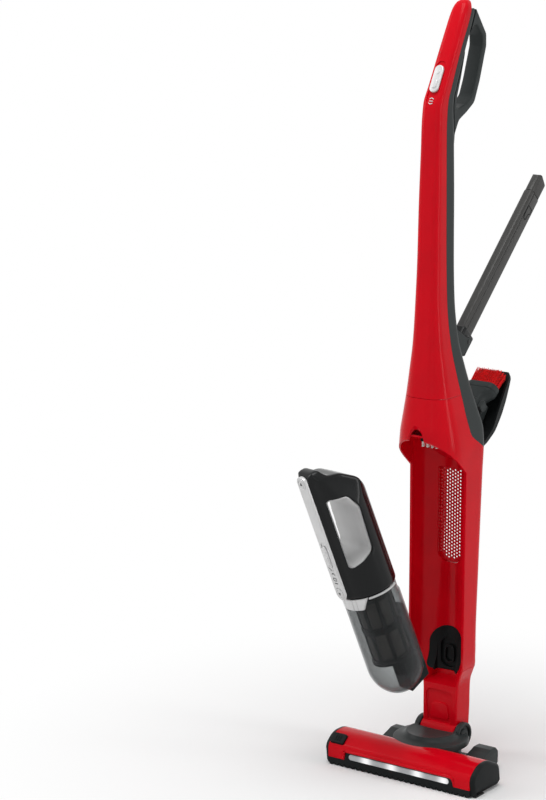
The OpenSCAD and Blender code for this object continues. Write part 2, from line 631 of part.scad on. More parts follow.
// ---- Hand unit, modelled docked and then swung out ----
swing_axis = [cos(swing_turn) * cos(swing_dip), -sin(swing_turn) * cos(swing_dip), -sin(swing_dip)];
swing_at = [swing_x, swing_y, swing_z];
module swung() {
    translate(swing_at) rotate(a = unit_swing, v = swing_axis)
        translate([0, trough_y, unit_z] - swing_at) children();
}
housing_z = 178;
cup_z = 158;
grip_y = -46;
strip_low = 190;
strip_high = 371;
opening = [[-34, 226], [5, 242], [8, 312], [-6, 336], [-34, 340]];

module housing_body(r) {
    intersection() {
        along_x(-r, r) polygon(soft([[grip_y, housing_z], [r, housing_z], [r, 296], [38, 330], [24,
            352], [2, 368],
            [-18, 373], [-25, unit_l], [-38, unit_l], [grip_y, 372]], [0, 0, 12, 10, 14, 20, 6, 5, 8, 8]));
        union() {
            translate([0, 0, housing_z]) cylinder(r = r, h = 250, $fn = 96);
            linear_extrude(unit_l) polygon(soft(box_pts(-15, 15, grip_y, 0), [6, 6, 0, 0]));
        }
        rotate([90, 0, 0]) linear_extrude(120, center = true) polygon(soft([[-r, housing_z], [r,
            housing_z], [r, unit_l - 67], [29, unit_l - 15], [15, unit_l + 1],
            [-15, unit_l + 1], [-29, unit_l - 15], [-r, unit_l - 67]], [0, 0, 30, 12, 3, 3, 12, 30]));
    }
}
module unit_housing() color(black) swung() difference() {
    housing_body(unit_r);
    along_x(-60, 60) polygon(soft(opening, [8, 12, 12, 8, 5]));
    translate([0, 0, housing_z - 1]) cylinder(r = unit_r - 2.5, h = 43, $fn = 96);
    block([-29, 11, 228], [29, 29, 332]);
    block([-6, -42, 200], [6, -38, 360]);
    rotate([90, 0, 0]) translate([0, strip_low, 42]) cylinder(r = 7, h = 10, $fn = 48);
}
module grip_strip() color(silver) swung() difference() {
    rotate([90, 0, 0]) translate([0, (strip_low + strip_high) / 2, -grip_y])
        capsule(strip_w, strip_high - strip_low + strip_w, 2.4);
    rotate([90, 0, 0]) translate([0, strip_low, 40]) cylinder(r = 7, h = 20, $fn = 48);
    rotate([90, 0, 0]) translate([0, 251, -grip_y + 1]) capsule(13, 46, 5);
}
module grip_liner() color([0.8, 0.8, 0.8]) swung() intersection() {
    along_x(-unit_r + 4, unit_r - 4) difference() {
        polygon(soft(opening, [8, 12, 12, 8, 5]));
        polygon(soft([[-34.5, 227], [3.4, 243.2], [6.4, 311.4], [-6.4, 334.6], [-34.5, 338.6]], [7, 11,
            11, 7, 4]));
        polygon([[-40, 220], [-31.5, 220], [-31.5, 345], [-40, 345]]);
    }
    translate([0, 0, 200]) cylinder(r = unit_r - 0.8, h = 200, $fn = 96);
}
module latch_band() color(silver) swung() intersection() {
    translate([0, 0, cup_z + 1]) difference() {
        cylinder(r = unit_r, h = 18, $fn = 96);
        translate([0, 0, -1]) cylinder(r = unit_r - 2.2, h = 20, $fn = 96);
    }
    translate([0, 0, cup_z]) linear_extrude(20) polygon([[0, 0], [60, -54], [60, -80], [-60, -80],
        [-60, -54]]);
}
module motor_plate() color(black) swung() translate([0, 0, housing_z]) difference() {
    cylinder(r = unit_r - 2.7, h = 3, $fn = 96);
    translate([0, 0, -1]) cylinder(r = 3, h = 5, $fn = 32);
    for (a = [0:45:315]) rotate(a) translate([17, 0, -1]) cylinder(r = 4, h = 5, $fn = 32);
}
module suction_motor() color(silver) swung() translate([0, 0, housing_z + 3]) difference() {
    union() {
        cylinder(r = 27, h = 30, $fn = 64);
        translate([0, 0, 30]) cylinder(r = 12, h = 9, $fn = 64);
    }
    translate([0, 0, -1]) cylinder(r = 2 + run_gap, h = 15, $fn = 32);
}
module battery_cells() color([0.1, 0.25, 0.6]) swung()
    for (x = [-19, 0, 19]) translate([x, 20, 229]) cylinder(r = 8.8, h = 65, $fn = 48);
module filter_cage() color(black) swung() difference() {
    union() {
        translate([0, 0, 60]) cylinder(r = filter_r, h = housing_z - 60, $fn = 64);
        translate([0, 0, 57]) cylinder(r = filter_r + 1.5, h = 4, $fn = 64);
        translate([0, 0, 112]) cylinder(r = filter_r + 1, h = 4, $fn = 64);
    }
    translate([0, 0, 63]) cylinder(r = filter_r - 2, h = 200, $fn = 64);
    for (a = [0:45:135]) rotate(a) for (z = [66, 119]) block([-50, -8.5, z], [50, 8.5, z + 42]);
}
module filter_sleeve() color([0.3, 0.3, 0.3]) swung() translate([0, 0, 63]) difference() {
    cylinder(r = filter_r - 2.2, h = 104, $fn = 64);
    translate([0, 0, 2]) cylinder(r = filter_r - 3.7, h = 110, $fn = 64);
}
function cup_outline(r, h) = concat([[0, 50 - h]], [for (i = [0:12]) [r * sin(7.5 * i),
    50 - h * cos(7.5 * i)]]);
module dust_container() color([0.6, 0.62, 0.65, 0.5]) swung() difference() {
    rotate_extrude($fn = 96) polygon(concat(cup_outline(unit_r - 0.5, 50),
        [[unit_r - 0.5, cup_z], [unit_r - 2.4, cup_z + 1], [unit_r - 2.4, housing_z - 0.2], [0,
            housing_z - 0.2]]));
    rotate_extrude($fn = 96) polygon(concat(cup_outline(unit_r - 0.5 - container_wall, 50 - container_wall),
        [[unit_r - 0.5 - container_wall, cup_z - 2], [unit_r - 4.2, cup_z + 1], [unit_r - 4.2,
            housing_z + 1], [0, housing_z + 1]]));
    heel_block(fit_gap);
    block([-9.2, 36, 40], [9.2, 60, 126.2]);
}
module heel_block(g) {
    intersection() {
        along_x(-18 - g, 18 + g) polygon(soft([[3 - g, -0.8 - 2 * g], [41.5, 10.5 - g], [43, 14], [43,
            40], [36, 52 + g], [3 - g, 52 + g]], [0, 3, 3, 6, 6, 3]));
        translate([0, 0, -2]) cylinder(r = unit_r - 0.6 + g, h = 80, $fn = 96);
    }
}
module inlet_heel() color(black) swung() {
    difference() {
        heel_block(0);
        along_x(-13, 13) polygon(soft([[8, -5], [34, -5], [34, 34], [26, 44], [8, 44]], [0, 0, 8, 6, 4]));
        block([-13, 10, 20], [13, 30, 60]);
    }
    intersection() {
        block([-9, 36, 40], [9, 60, 126]);
        translate([0, 0, 40]) difference() {
            cylinder(r = unit_r, h = 90, $fn = 96);
            translate([0, 0, -1]) cylinder(r = unit_r - 2.4, h = 100, $fn = 96);
        }
    }
}
module impeller() color([0.3, 0.3, 0.32]) swung() {
    translate([0, 0, housing_z - 8]) {
        cylinder(r = 22, h = 2, $fn = 64);
        cylinder(r = 4, h = 6, $fn = 32);
        cylinder(r = 2, h = 18, $fn = 32);
        for (a = [0:30:330]) rotate(a) block([3, -0.6, 1], [21, 0.6, 5.5]);
    }
}
module power_slider() color([0.66, 0.67, 0.68]) swung() rotate([90, 0, 0]) translate([0, 251,
    -grip_y + 1.4]) {
    capsule(11, 34, 2.6);
    for (i = [-2:2]) translate([0, i * 3, 2.6]) block([-3.5, -0.5, 0], [3.5, 0.5, 0.5]);
}
module container_button() color([0.7, 0.7, 0.71]) swung() rotate([90, 0, 0])
    translate([0, strip_low, 44]) cylinder(r = 7 - move_gap, h = 5, $fn = 48);

nozzle_base();
front_lip();
nozzle_cover();
end_cap_left();
end_cap_right();
lamp_lens();
lamp_board();
roll_motor();
drive_belt();
rear_legs();
wheel_axles();
floor_glides();
brush_roll();
roll_bristles();
release_button();
wheel_left();
wheel_right();
turret();
tilt_pin();
neck_barrel();
neck();
neck_duct();
dock_shell();
air_grille();
dock_socket();
head_cover();
dock_roof();
contact_block();
charge_contacts();
stick_front();
rear_shell();
handle_loop();
stick_core();
switch_board();
rear_screws();
tool_bracket();
switch_slider();
flap_panel();
brush_holder();
dusting_brush();
dusting_bristles();
flap_pin();
tool_clip();
crevice_tool();
unit_housing();
grip_strip();
grip_liner();
latch_band();
motor_plate();
suction_motor();
battery_cells();
filter_cage();
filter_sleeve();
dust_container();
inlet_heel();
impeller();
power_slider();
container_button();
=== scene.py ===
"""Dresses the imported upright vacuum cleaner.

The CAD frame is loaded first.  Each visible moulding is then rebuilt as a smooth
piece on the body that carries it, and the solids that stay get finished materials.
All shapes are written in millimetres in the CAD frame and scaled once, at the end.
"""

import json
import logging
import math
from dataclasses import dataclass, field
from enum import Enum
from typing import Callable, Iterable, Optional, Sequence, Union

import bmesh
import bpy
import numpy as np
from mathutils import Matrix, Vector


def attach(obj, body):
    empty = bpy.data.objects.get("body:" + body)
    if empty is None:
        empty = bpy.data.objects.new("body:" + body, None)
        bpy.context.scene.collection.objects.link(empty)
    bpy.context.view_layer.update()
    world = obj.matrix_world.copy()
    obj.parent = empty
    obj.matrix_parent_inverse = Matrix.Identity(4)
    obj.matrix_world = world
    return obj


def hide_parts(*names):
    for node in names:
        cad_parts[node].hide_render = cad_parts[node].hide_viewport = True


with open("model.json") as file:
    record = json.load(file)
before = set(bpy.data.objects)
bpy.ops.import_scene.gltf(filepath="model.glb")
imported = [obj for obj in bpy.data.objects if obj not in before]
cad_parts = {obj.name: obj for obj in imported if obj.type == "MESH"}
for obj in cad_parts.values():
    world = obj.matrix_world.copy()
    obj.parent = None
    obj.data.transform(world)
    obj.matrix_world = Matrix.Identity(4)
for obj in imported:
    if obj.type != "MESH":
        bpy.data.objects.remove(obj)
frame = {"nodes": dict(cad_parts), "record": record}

LOG = logging.getLogger("dress")
MM = 0.001
Point2 = tuple[float, float]
Row = tuple[float, float, float, float, float, float]


class Body(Enum):
    """The moving bodies that pieces ride on."""

    NOZZLE = "nozzle"
    ROLL = "brush_roll"
    RELEASE = "release_button"
    WHEEL_L = "wheel_left"
    WHEEL_R = "wheel_right"
    TURRET = "turret"
    UPRIGHT = "upright"
    SWITCH = "switch_slider"
    FLAP = "rear_flap"
    CLIP = "tool_clip"
    TOOL = "crevice_tool"
    UNIT = "hand_unit"
    SLIDER = "power_slider"
    BUTTON = "container_button"


class Plane(Enum):
    """The plane that a flat outline is drawn in, and the axis it is extruded along."""

    YZ = Matrix(((0, 0, 1, 0), (1, 0, 0, 0), (0, 1, 0, 0), (0, 0, 0, 1)))
    XZ = Matrix(((1, 0, 0, 0), (0, 0, -1, 0), (0, 1, 0, 0), (0, 0, 0, 1)))
    XY = Matrix.Identity(4)


# ---------------------------------------------------------------- outlines


def arc(c: Point2, r: float, a0: float, a1: float, n: int = 8) -> list[Point2]:
    """Points on an arc.

    Args:
        c: centre. r: radius. a0: first angle in degrees. a1: last angle. n: steps.
    Returns:
        n + 1 points.
    """
    angles = [math.radians(a0 + (a1 - a0) * i / n) for i in range(n + 1)]
    return [(c[0] + r * math.cos(a), c[1] + r * math.sin(a)) for a in angles]


def soft(points: Sequence[Point2], radii: Union[float, Sequence[float]], n: int = 10) -> list[Point2]:
    """Rounds the corners of a closed outline.

    Args:
        points: the corners. radii: one radius, or one for each corner. n: steps on each corner.
    Returns:
        The rounded outline.
    """
    out: list[Point2] = []
    count = len(points)
    for i in range(count):
        r = radii[i] if isinstance(radii, (list, tuple)) else radii
        b = Vector(points[i])
        if r <= 0:
            out.append(tuple(b))
            continue
        u = (Vector(points[i - 1]) - b).normalized()
        v = (Vector(points[(i + 1) % count]) - b).normalized()
        half = math.acos(max(-1.0, min(1.0, u.dot(v)))) / 2
        centre = b + (u + v).normalized() * r / math.sin(half)
        start = b + u * r / math.tan(half) - centre
        a0 = math.degrees(math.atan2(start.y, start.x))
        turn = 1 if (-u).x * v.y - (-u).y * v.x > 0 else -1
        out += arc(tuple(centre), r, a0, a0 + turn * (180 - 2 * math.degrees(half)), n)
    return out


def box2(x0: float, x1: float, y0: float, y1: float) -> list[Point2]:
    """Corners of a rectangle, anticlockwise."""
    return [(x0, y0), (x1, y0), (x1, y1), (x0, y1)]


def capsule(w: float, length: float, n: int = 14) -> list[Point2]:
    """A slot outline, w wide and length tall, about the origin."""
    return soft(box2(-w / 2, w / 2, -length / 2, length / 2), w / 2 - 0.01, n)


class Curve1:
    """A smooth curve through points that never overshoots them (monotone cubic)."""

    def __init__(self, xs: Sequence[float], ys: Sequence[float]) -> None:
        """Args: xs: rising places. ys: values there."""
        self.x = np.array(xs, float)
        self.y = np.array(ys, float)
        h = np.diff(self.x)
        d = np.diff(self.y) / h
        m = np.zeros(len(self.x))
        m[0], m[-1] = d[0], d[-1]
        for i in range(1, len(d)):
            if d[i - 1] * d[i] > 0:
                w1, w2 = 2 * h[i] + h[i - 1], h[i] + 2 * h[i - 1]
                m[i] = (w1 + w2) / (w1 / d[i - 1] + w2 / d[i])
        self.m, self.h, self.d = m, h, d

    def __call__(self, x: float) -> float:
        """The value at x.

        Args:
            x: the place.
        Returns:
            The value.
        """
        i = int(np.clip(np.searchsorted(self.x, x) - 1, 0, len(self.h) - 1))
        t = min(max((x - self.x[i]) / self.h[i], 0.0), 1.0)
        h = self.h[i]
        return float(
            (2 * t**3 - 3 * t**2 + 1) * self.y[i] + (t**3 - 2 * t**2 + t) * h * self.m[i]
            + (-2 * t**3 + 3 * t**2) * self.y[i + 1] + (t**3 - t**2) * h * self.m[i + 1]
        )


@dataclass
class Skin:
    """A tall shell given by rows of height, half width, front, rear, front and rear radius."""

    rows: Sequence[Row]
    steps: int = 14
    curves: list[Curve1] = field(init=False)

    def __post_init__(self) -> None:
        """Fits a curve through each column."""
        table = sorted(self.rows)
        self.curves = [Curve1([r[0] for r in table], [r[k] for r in table]) for k in range(1, 6)]

    def ring(self, z: float, inset: float = 0.0) -> list[Point2]:
        """The outline at a height, drawn in by inset.

        Args:
            z: the height. inset: how far it is drawn in.
        Returns:
            The outline.
        """
        w, f, b, rf, rb = (c(z) for c in self.curves)
        w, f, b = w - inset, f + inset, b - inset
        rf, rb = max(min(rf - inset, w - 0.01), 0.4), max(min(rb - inset, w - 0.01), 0.4)
        n = self.steps
        half = arc((w - rf, f + rf), rf, -90, 0, n) + arc((w - rb, b - rb), rb, 0, 90, n)
        side = [(w, f + rf + (b - rb - f - rf) * i / 8) for i in range(1, 8)]
        half = half[: n + 1] + side + half[n + 1 :]
        return half + [(-x, y) for x, y in reversed(half)]


# ---------------------------------------------------------------- meshes


@dataclass
class Form:
    """A closed mesh in millimetres, while it is being shaped."""

    verts: np.ndarray
    faces: list[tuple[int, ...]]

    @staticmethod
    def loft(rings: Sequence[Sequence[Sequence[float]]], caps: bool = True, loop: bool = False) -> "Form":
        """Joins rings of equal length.

        Args:
            rings: closed rings of 3-D points. caps: fill both ends. loop: join the last to the first.
        Returns:
            The form.
        """
        n = len(rings[0])
        verts = np.array([p for ring in rings for p in ring], float)
        count = len(rings)
        faces: list[tuple[int, ...]] = []
        for k in range(count if loop else count - 1):
            a, b = k * n, ((k + 1) % count) * n
            faces += [(a + i, a + (i + 1) % n, b + (i + 1) % n, b + i) for i in range(n)]
        if caps and not loop:
            faces.append(tuple(reversed(range(n))))
            faces.append(tuple((count - 1) * n + i for i in range(n)))
        return Form(verts, faces)

    @staticmethod
    def plate(outer: Sequence[Point2], lo: float, hi: float, plane: Plane, bevel: float = 0.0,
            holes: Iterable[Sequence[Point2]] = (), steps: int = 3) -> "Form":
        """Extrudes an outline with rounded edges.

        Args:
            outer: the outline. lo: low end. hi: high end. plane: the outline's plane.
            bevel: edge radius. holes: outlines of holes. steps: bevel steps.
        Returns:
            The form.
        """
        data = bpy.data.curves.new("plate", "CURVE")
        data.dimensions, data.fill_mode = "2D", "BOTH"
        data.extrude = (hi - lo) / 2 - bevel
        data.bevel_depth, data.offset, data.bevel_resolution = bevel, -bevel, steps
        for outline in (outer, *holes):
            spline = data.splines.new("POLY")
            spline.points.add(len(outline) - 1)
            for point, (u, v) in zip(spline.points, outline):
                point.co = (u, v, 0, 1)
            spline.use_cyclic_u = True
        ob = bpy.data.objects.new("plate", data)
        bpy.context.collection.objects.link(ob)
        mesh = bpy.data.meshes.new_from_object(ob.evaluated_get(bpy.context.evaluated_depsgraph_get()))
        bpy.data.objects.remove(ob)
        shift = Matrix.Translation((0, 0, (lo + hi) / 2 if plane is not Plane.XZ else -(lo + hi) / 2))
        mesh.transform(plane.value @ shift)
        form = Form.read(mesh)
        bpy.data.meshes.remove(mesh)
        return form

    @staticmethod
    def revolve(profile: Sequence[Point2], centre: Point2 = (0, 0), n: int = 96) -> "Form":
        """Turns a profile of radius and height about an upright axis at centre.

        Args:
            profile: radius and height of each point. centre: where the axis stands. n: steps round.
        Returns:
            The form.
        """
        rings = []
        for i in range(n):
            a = 2 * math.pi * i / n
            u, v = math.cos(a), math.sin(a)
            rings.append([(centre[0] + max(r, 1e-4) * u, centre[1] + max(r, 1e-4) * v, z) for r,
                    z in profile])
        return Form.loft(rings, caps=False, loop=True).weld()

    @staticmethod
    def tube(path: Sequence[Sequence[float]], r: Union[float, Sequence[float]], n: int = 12,
            flat: float = 1.0) -> "Form":
        """A round bar along a path; flat squeezes it across X.

        Args:
            path: the points. r: one radius, or one for each point. n: sides. flat: how far it is squeezed.
        Returns:
            The form.
        """
        pts = [Vector(p) for p in path]
        rings = []
        for i, p in enumerate(pts):
            t = (pts[min(i + 1, len(pts) - 1)] - pts[max(i - 1, 0)]).normalized()
            u = Vector((1, 0, 0)) if abs(t.x) < 0.9 else Vector((0, 0, 1))
            s = t.cross(u).normalized()
            u = s.cross(t).normalized()
            radius = r[i] if isinstance(r, (list, tuple)) else r
            angles = [2 * math.pi * k / n for k in range(n)]
            rings.append([p + (u * math.cos(a) + s * flat * math.sin(a)) * radius for a in angles])
        return Form.loft(rings)

    @staticmethod
    def read(mesh: bpy.types.Mesh) -> "Form":
        """Takes over a mesh's points and faces.

        Args:
            mesh: the mesh.
        Returns:
            The form.
        """
        co = np.empty(len(mesh.vertices) * 3)
        mesh.vertices.foreach_get("co", co)
        return Form(co.reshape(-1, 3), [tuple(p.vertices) for p in mesh.polygons]).weld()

    def mesh(self, scale: float = 1.0) -> bpy.types.Mesh:
        """Writes the form to a new mesh.

        Args:
            scale: metres in one of the form's units.
        Returns:
            The mesh.
        """
        mesh = bpy.data.meshes.new("form")
        mesh.from_pydata((self.verts * scale).tolist(), [], self.faces)
        mesh.validate()
        return mesh

    def weld(self, gap: float = 1e-3) -> "Form":
        """Joins points closer than gap and turns the faces outwards.

        Args:
            gap: the least distance that is kept.
        Returns:
            The form.
        """
        bm = bmesh.new()
        mesh = self.mesh()
        bm.from_mesh(mesh)
        bmesh.ops.remove_doubles(bm, verts=bm.verts, dist=gap)
        bmesh.ops.dissolve_degenerate(bm, edges=bm.edges, dist=1e-5)
        bmesh.ops.recalc_face_normals(bm, faces=bm.faces)
        bm.to_mesh(mesh)
        bm.free()
        self.verts = np.array([v.co for v in mesh.vertices], float).reshape(-1, 3)
        self.faces = [tuple(p.vertices) for p in mesh.polygons]
        bpy.data.meshes.remove(mesh)
        return self

    def moved(self, matrix: Matrix) -> "Form":
        """A copy moved by a matrix."""
        m = np.array(matrix)
        return Form(self.verts @ m[:3, :3].T + m[:3, 3], list(self.faces))

    def mirrored(self) -> "Form":
        """A copy mirrored across X."""
        return Form(self.verts * (-1, 1, 1), [tuple(reversed(f)) for f in self.faces])

    def plus(self, *others: "Form") -> "Form":
        """This form and the others, side by side in one mesh.

        Args:
            others: the forms that join it.
        Returns:
            The form.
        """
        verts, faces, base = [self.verts], list(self.faces), len(self.verts)
        for other in others:
            verts.append(other.verts)
            faces += [tuple(i + base for i in f) for f in other.faces]
            base += len(other.verts)
        return Form(np.vstack(verts), faces)

    def _modified(self, setup: Callable[[bpy.types.Object], None]) -> "Form":
        """Runs modifiers on the form and reads the result.

        Args:
            setup: adds the modifiers to the object that it is given.
        Returns:
            The form.
        """
        ob = bpy.data.objects.new("work", self.mesh())
        bpy.context.collection.objects.link(ob)
        setup(ob)
        result = bpy.data.meshes.new_from_object(ob.evaluated_get(bpy.context.evaluated_depsgraph_get()))
        form = Form.read(result)
        bpy.data.objects.remove(ob)
        bpy.data.meshes.remove(result)
        return form

    def _boolean(self, others: Sequence["Form"], how: str) -> "Form":
        """Runs exact booleans with the others.

        Args:
            others: the forms. how: the operation's name.
        Returns:
            The form.
        """
        form = self
        for other in others:
            tool = bpy.data.objects.new("tool", other.mesh())
            bpy.context.collection.objects.link(tool)

            def setup(ob: bpy.types.Object) -> None:
                """Adds the boolean."""
                mod = ob.modifiers.new("b", "BOOLEAN")
                mod.operation, mod.object, mod.solver = how, tool, "EXACT"

            form = form._modified(setup)
            bpy.data.objects.remove(tool)
        return form

    def cut(self, *others: "Form") -> "Form":
        """This form without the others."""
        return self._boolean(others, "DIFFERENCE")

    def keep(self, *others: "Form") -> "Form":
        """What this form shares with each of the others."""
        return self._boolean(others, "INTERSECT")

    def fused(self, *others: "Form") -> "Form":
        """This form joined with the others into one solid."""
        return self._boolean(others, "UNION")

    def melted(self, voxel: float, passes: int, factor: float = 0.5) -> "Form":
        """Remeshes the form and smooths it, so that every edge turns into a small fillet.

        Args:
            voxel: the size of the remesh. passes: rounds of smoothing. factor: strength of each round.
        Returns:
            The form.
        """

        def setup(ob: bpy.types.Object) -> None:
            """Adds the remesh and the smoothing."""
            mod = ob.modifiers.new("r", "REMESH")
            mod.mode, mod.voxel_size = "VOXEL", voxel
            mod = ob.modifiers.new("s", "SMOOTH")
            mod.factor, mod.iterations = factor, passes

        return self._modified(setup)


def block(lo: Sequence[float], hi: Sequence[float], bevel: float = 0.0) -> Form:
    """A block between two corners, with rounded upright edges."""
    outline = box2(lo[0], hi[0], lo[1], hi[1])
    return Form.plate(soft(outline, bevel) if bevel else outline, lo[2], hi[2], Plane.XY, bevel * 0.6)


def lathe_x(profile: Sequence[Point2], y: float, z: float, n: int = 72) -> Form:
    """Turns a profile of radius and X about the X axis through y, z."""
    turn = Matrix.Translation((0, y, z)) @ Matrix.Rotation(math.pi / 2, 4, "Y")
    return Form.revolve([(r, x) for r, x in profile], n=n).moved(turn)


# ---------------------------------------------------------------- materials


class Slot(Enum):
    """The record's material slots."""

    RED = "red_gloss"
    BLACK = "black_satin"
    UNIT_BLACK = "black_gloss"
    GREY = "grey_satin"
    TOOL = "tool_grey"
    GRIP = "grip_soft"
    SILVER = "silver_satin"
    CLEAR = "smoky_clear"
    LAMP = "lamp_clear"
    STEEL = "steel"
    ALLOY = "core_alloy"
    CONTACT = "contact_plate"
    BOARD = "board"
    RUBBER = "rubber"
    TUFT_RED = "brush_red"
    ROLL = "roll_red"
    TUFT_DARK = "brush_dark"
    CELLS = "cells"
    FAN = "fan"
    FELT = "filter_felt"


@dataclass(frozen=True)
class Finish:
    """How a slot's surface looks: colour, gloss, and the size and depth of its grain."""

    color: tuple[float, float, float]
    rough: float
    metal: float = 0.0
    coat: float = 0.0
    grain_mm: float = 1.2
    relief: float = 0.05
    tint: float = 0.06
    scuff: float = 0.05
    shine: float = 0.3


FINISHES: dict[Slot, Finish] = {
    Slot.RED: Finish((0.62, 0.0016, 0.0095), 0.16, grain_mm=6.0, relief=0.01, tint=0.05, scuff=0.03,
        shine=0.09),
    Slot.BLACK: Finish((0.0085, 0.0102, 0.0105), 0.42, grain_mm=0.5, relief=0.12, shine=0.1),
    Slot.UNIT_BLACK: Finish((0.0045, 0.0052, 0.0056), 0.18, grain_mm=5.0, relief=0.01, scuff=0.04, shine=0.2),
    Slot.GREY: Finish((0.030, 0.035, 0.035), 0.40, grain_mm=0.5, relief=0.1, shine=0.12),
    Slot.TOOL: Finish((0.034, 0.033, 0.031), 0.34, grain_mm=3.0, relief=0.02, shine=0.3),
    Slot.GRIP: Finish((0.56, 0.56, 0.56), 0.42, grain_mm=0.8, relief=0.06),
    Slot.SILVER: Finish((0.62, 0.62, 0.62), 0.32, metal=0.35, grain_mm=0.3, relief=0.03),
    Slot.STEEL: Finish((0.5, 0.5, 0.5), 0.3, metal=1.0, grain_mm=0.4),
    Slot.ALLOY: Finish((0.66, 0.67, 0.68), 0.34, metal=1.0, grain_mm=0.4),
    Slot.CONTACT: Finish((0.86, 0.84, 0.8), 0.28, metal=0.3, grain_mm=0.5, relief=0.02),
    Slot.BOARD: Finish((0.02, 0.12, 0.05), 0.5, grain_mm=1.5),
    Slot.RUBBER: Finish((0.02, 0.02, 0.02), 0.7, grain_mm=0.7, relief=0.15),
    Slot.TUFT_RED: Finish((0.78, 0.006, 0.008), 0.42, grain_mm=1.1, relief=0.02, tint=0.3, shine=0.15),
    Slot.ROLL: Finish((0.35, 0.01, 0.02), 0.4, grain_mm=1.2),
    Slot.TUFT_DARK: Finish((0.03, 0.03, 0.032), 0.5, grain_mm=1.1, relief=0.02, tint=0.3),
    Slot.CELLS: Finish((0.05, 0.12, 0.35), 0.4, grain_mm=2.0),
    Slot.FAN: Finish((0.05, 0.05, 0.052), 0.4, grain_mm=0.8),
    Slot.FELT: Finish((0.075, 0.07, 0.064), 0.9, grain_mm=0.35, relief=0.35, tint=0.2),
}


class Sock:
    """A node output that takes part in sums, products and powers."""

    def __init__(self, graph: "Graph", socket: bpy.types.NodeSocket) -> None:
        """Args: graph: its graph. socket: the output."""
        self.graph, self.socket = graph, socket

    def _math(self, how: str, other: Union["Sock", float]) -> "Sock":
        """One math node between this and another value."""
        return self.graph.node("ShaderNodeMath", {0: self, 1: other}, operation=how)

    def __add__(self, other: Union["Sock", float]) -> "Sock":
        """The sum."""
        return self._math("ADD", other)

    __radd__ = __add__

    def __mul__(self, other: Union["Sock", float]) -> "Sock":
        """The product."""
        return self._math("MULTIPLY", other)

    __rmul__ = __mul__

    def __sub__(self, other: Union["Sock", float]) -> "Sock":
        """The difference."""
        return self._math("SUBTRACT", other)

    def __rsub__(self, other: float) -> "Sock":
        """A number less this."""
        return self * -1.0 + other

    def __pow__(self, other: float) -> "Sock":
        """This to a power."""
        return self._math("POWER", other)

    def sine(self) -> "Sock":
        """The sine of this."""
        return self._math("SINE", 0.0)

    def clamped(self) -> "Sock":
        """This between nought and one."""
        return self.graph.node("ShaderNodeMath", {0: self, 1: 0.0}, operation="ADD", use_clamp=True)


class Graph:
    """A material's node tree, written with one method."""

    def __init__(self, name: str, owner: Optional[bpy.types.World] = None) -> None:
        """Args: name: the material's name. owner: a world that takes the nodes instead."""
        self.material = owner or bpy.data.materials.new(name)
        self.material.use_nodes = True
        self.tree = self.material.node_tree
        self.tree.nodes.clear()

    def node(self, kind: str, inputs: Optional[dict] = None, out: Union[int, str] = 0,
            **props: object) -> Sock:
        """Adds a node.

        Args:
            kind: the node's type. inputs: values or socks by input. out: the output to return.
            props: its settings.
        Returns:
            The chosen output.
        """
        made = self.tree.nodes.new(kind)
        for key, value in props.items():
            setattr(made, key, value)
        for key, value in (inputs or {}).items():
            if isinstance(value, Sock):
                self.tree.links.new(value.socket, made.inputs[key])
            else:
                made.inputs[key].default_value = value
        return Sock(self, made.outputs[out]) if made.outputs else Sock(self, None)

    def place(self, axis: int) -> Sock:
        """The surface point's X, Y or Z in metres."""
        where = self.node("ShaderNodeTexCoord", out="Object")
        return self.node("ShaderNodeSeparateXYZ", {0: where}, out=axis)

    def noise(self, size_mm: float, detail: float = 3.0) -> Sock:
        """Noise of a given grain size."""
        where = self.node("ShaderNodeTexCoord", out="Object")
        return self.node("ShaderNodeTexNoise", {"Vector": where, "Scale": 1000.0 / size_mm, "Detail": detail})

    def spread(self, source: Sock, lo: float, hi: float) -> Sock:
        """Maps 0.3 to 0.7 onto lo to hi."""
        ends = {"From Min": 0.3, "From Max": 0.7, "To Min": lo, "To Max": hi}
        return self.node("ShaderNodeMapRange", {"Value": source, **ends})

    def blend(self, mask: Sock, a: Sequence[float], b: Sequence[float]) -> Sock:
        """Mixes two colours by a mask."""
        return self.node("ShaderNodeMix", {0: mask, 6: (*a, 1), 7: (*b, 1)}, out=2, data_type="RGBA")


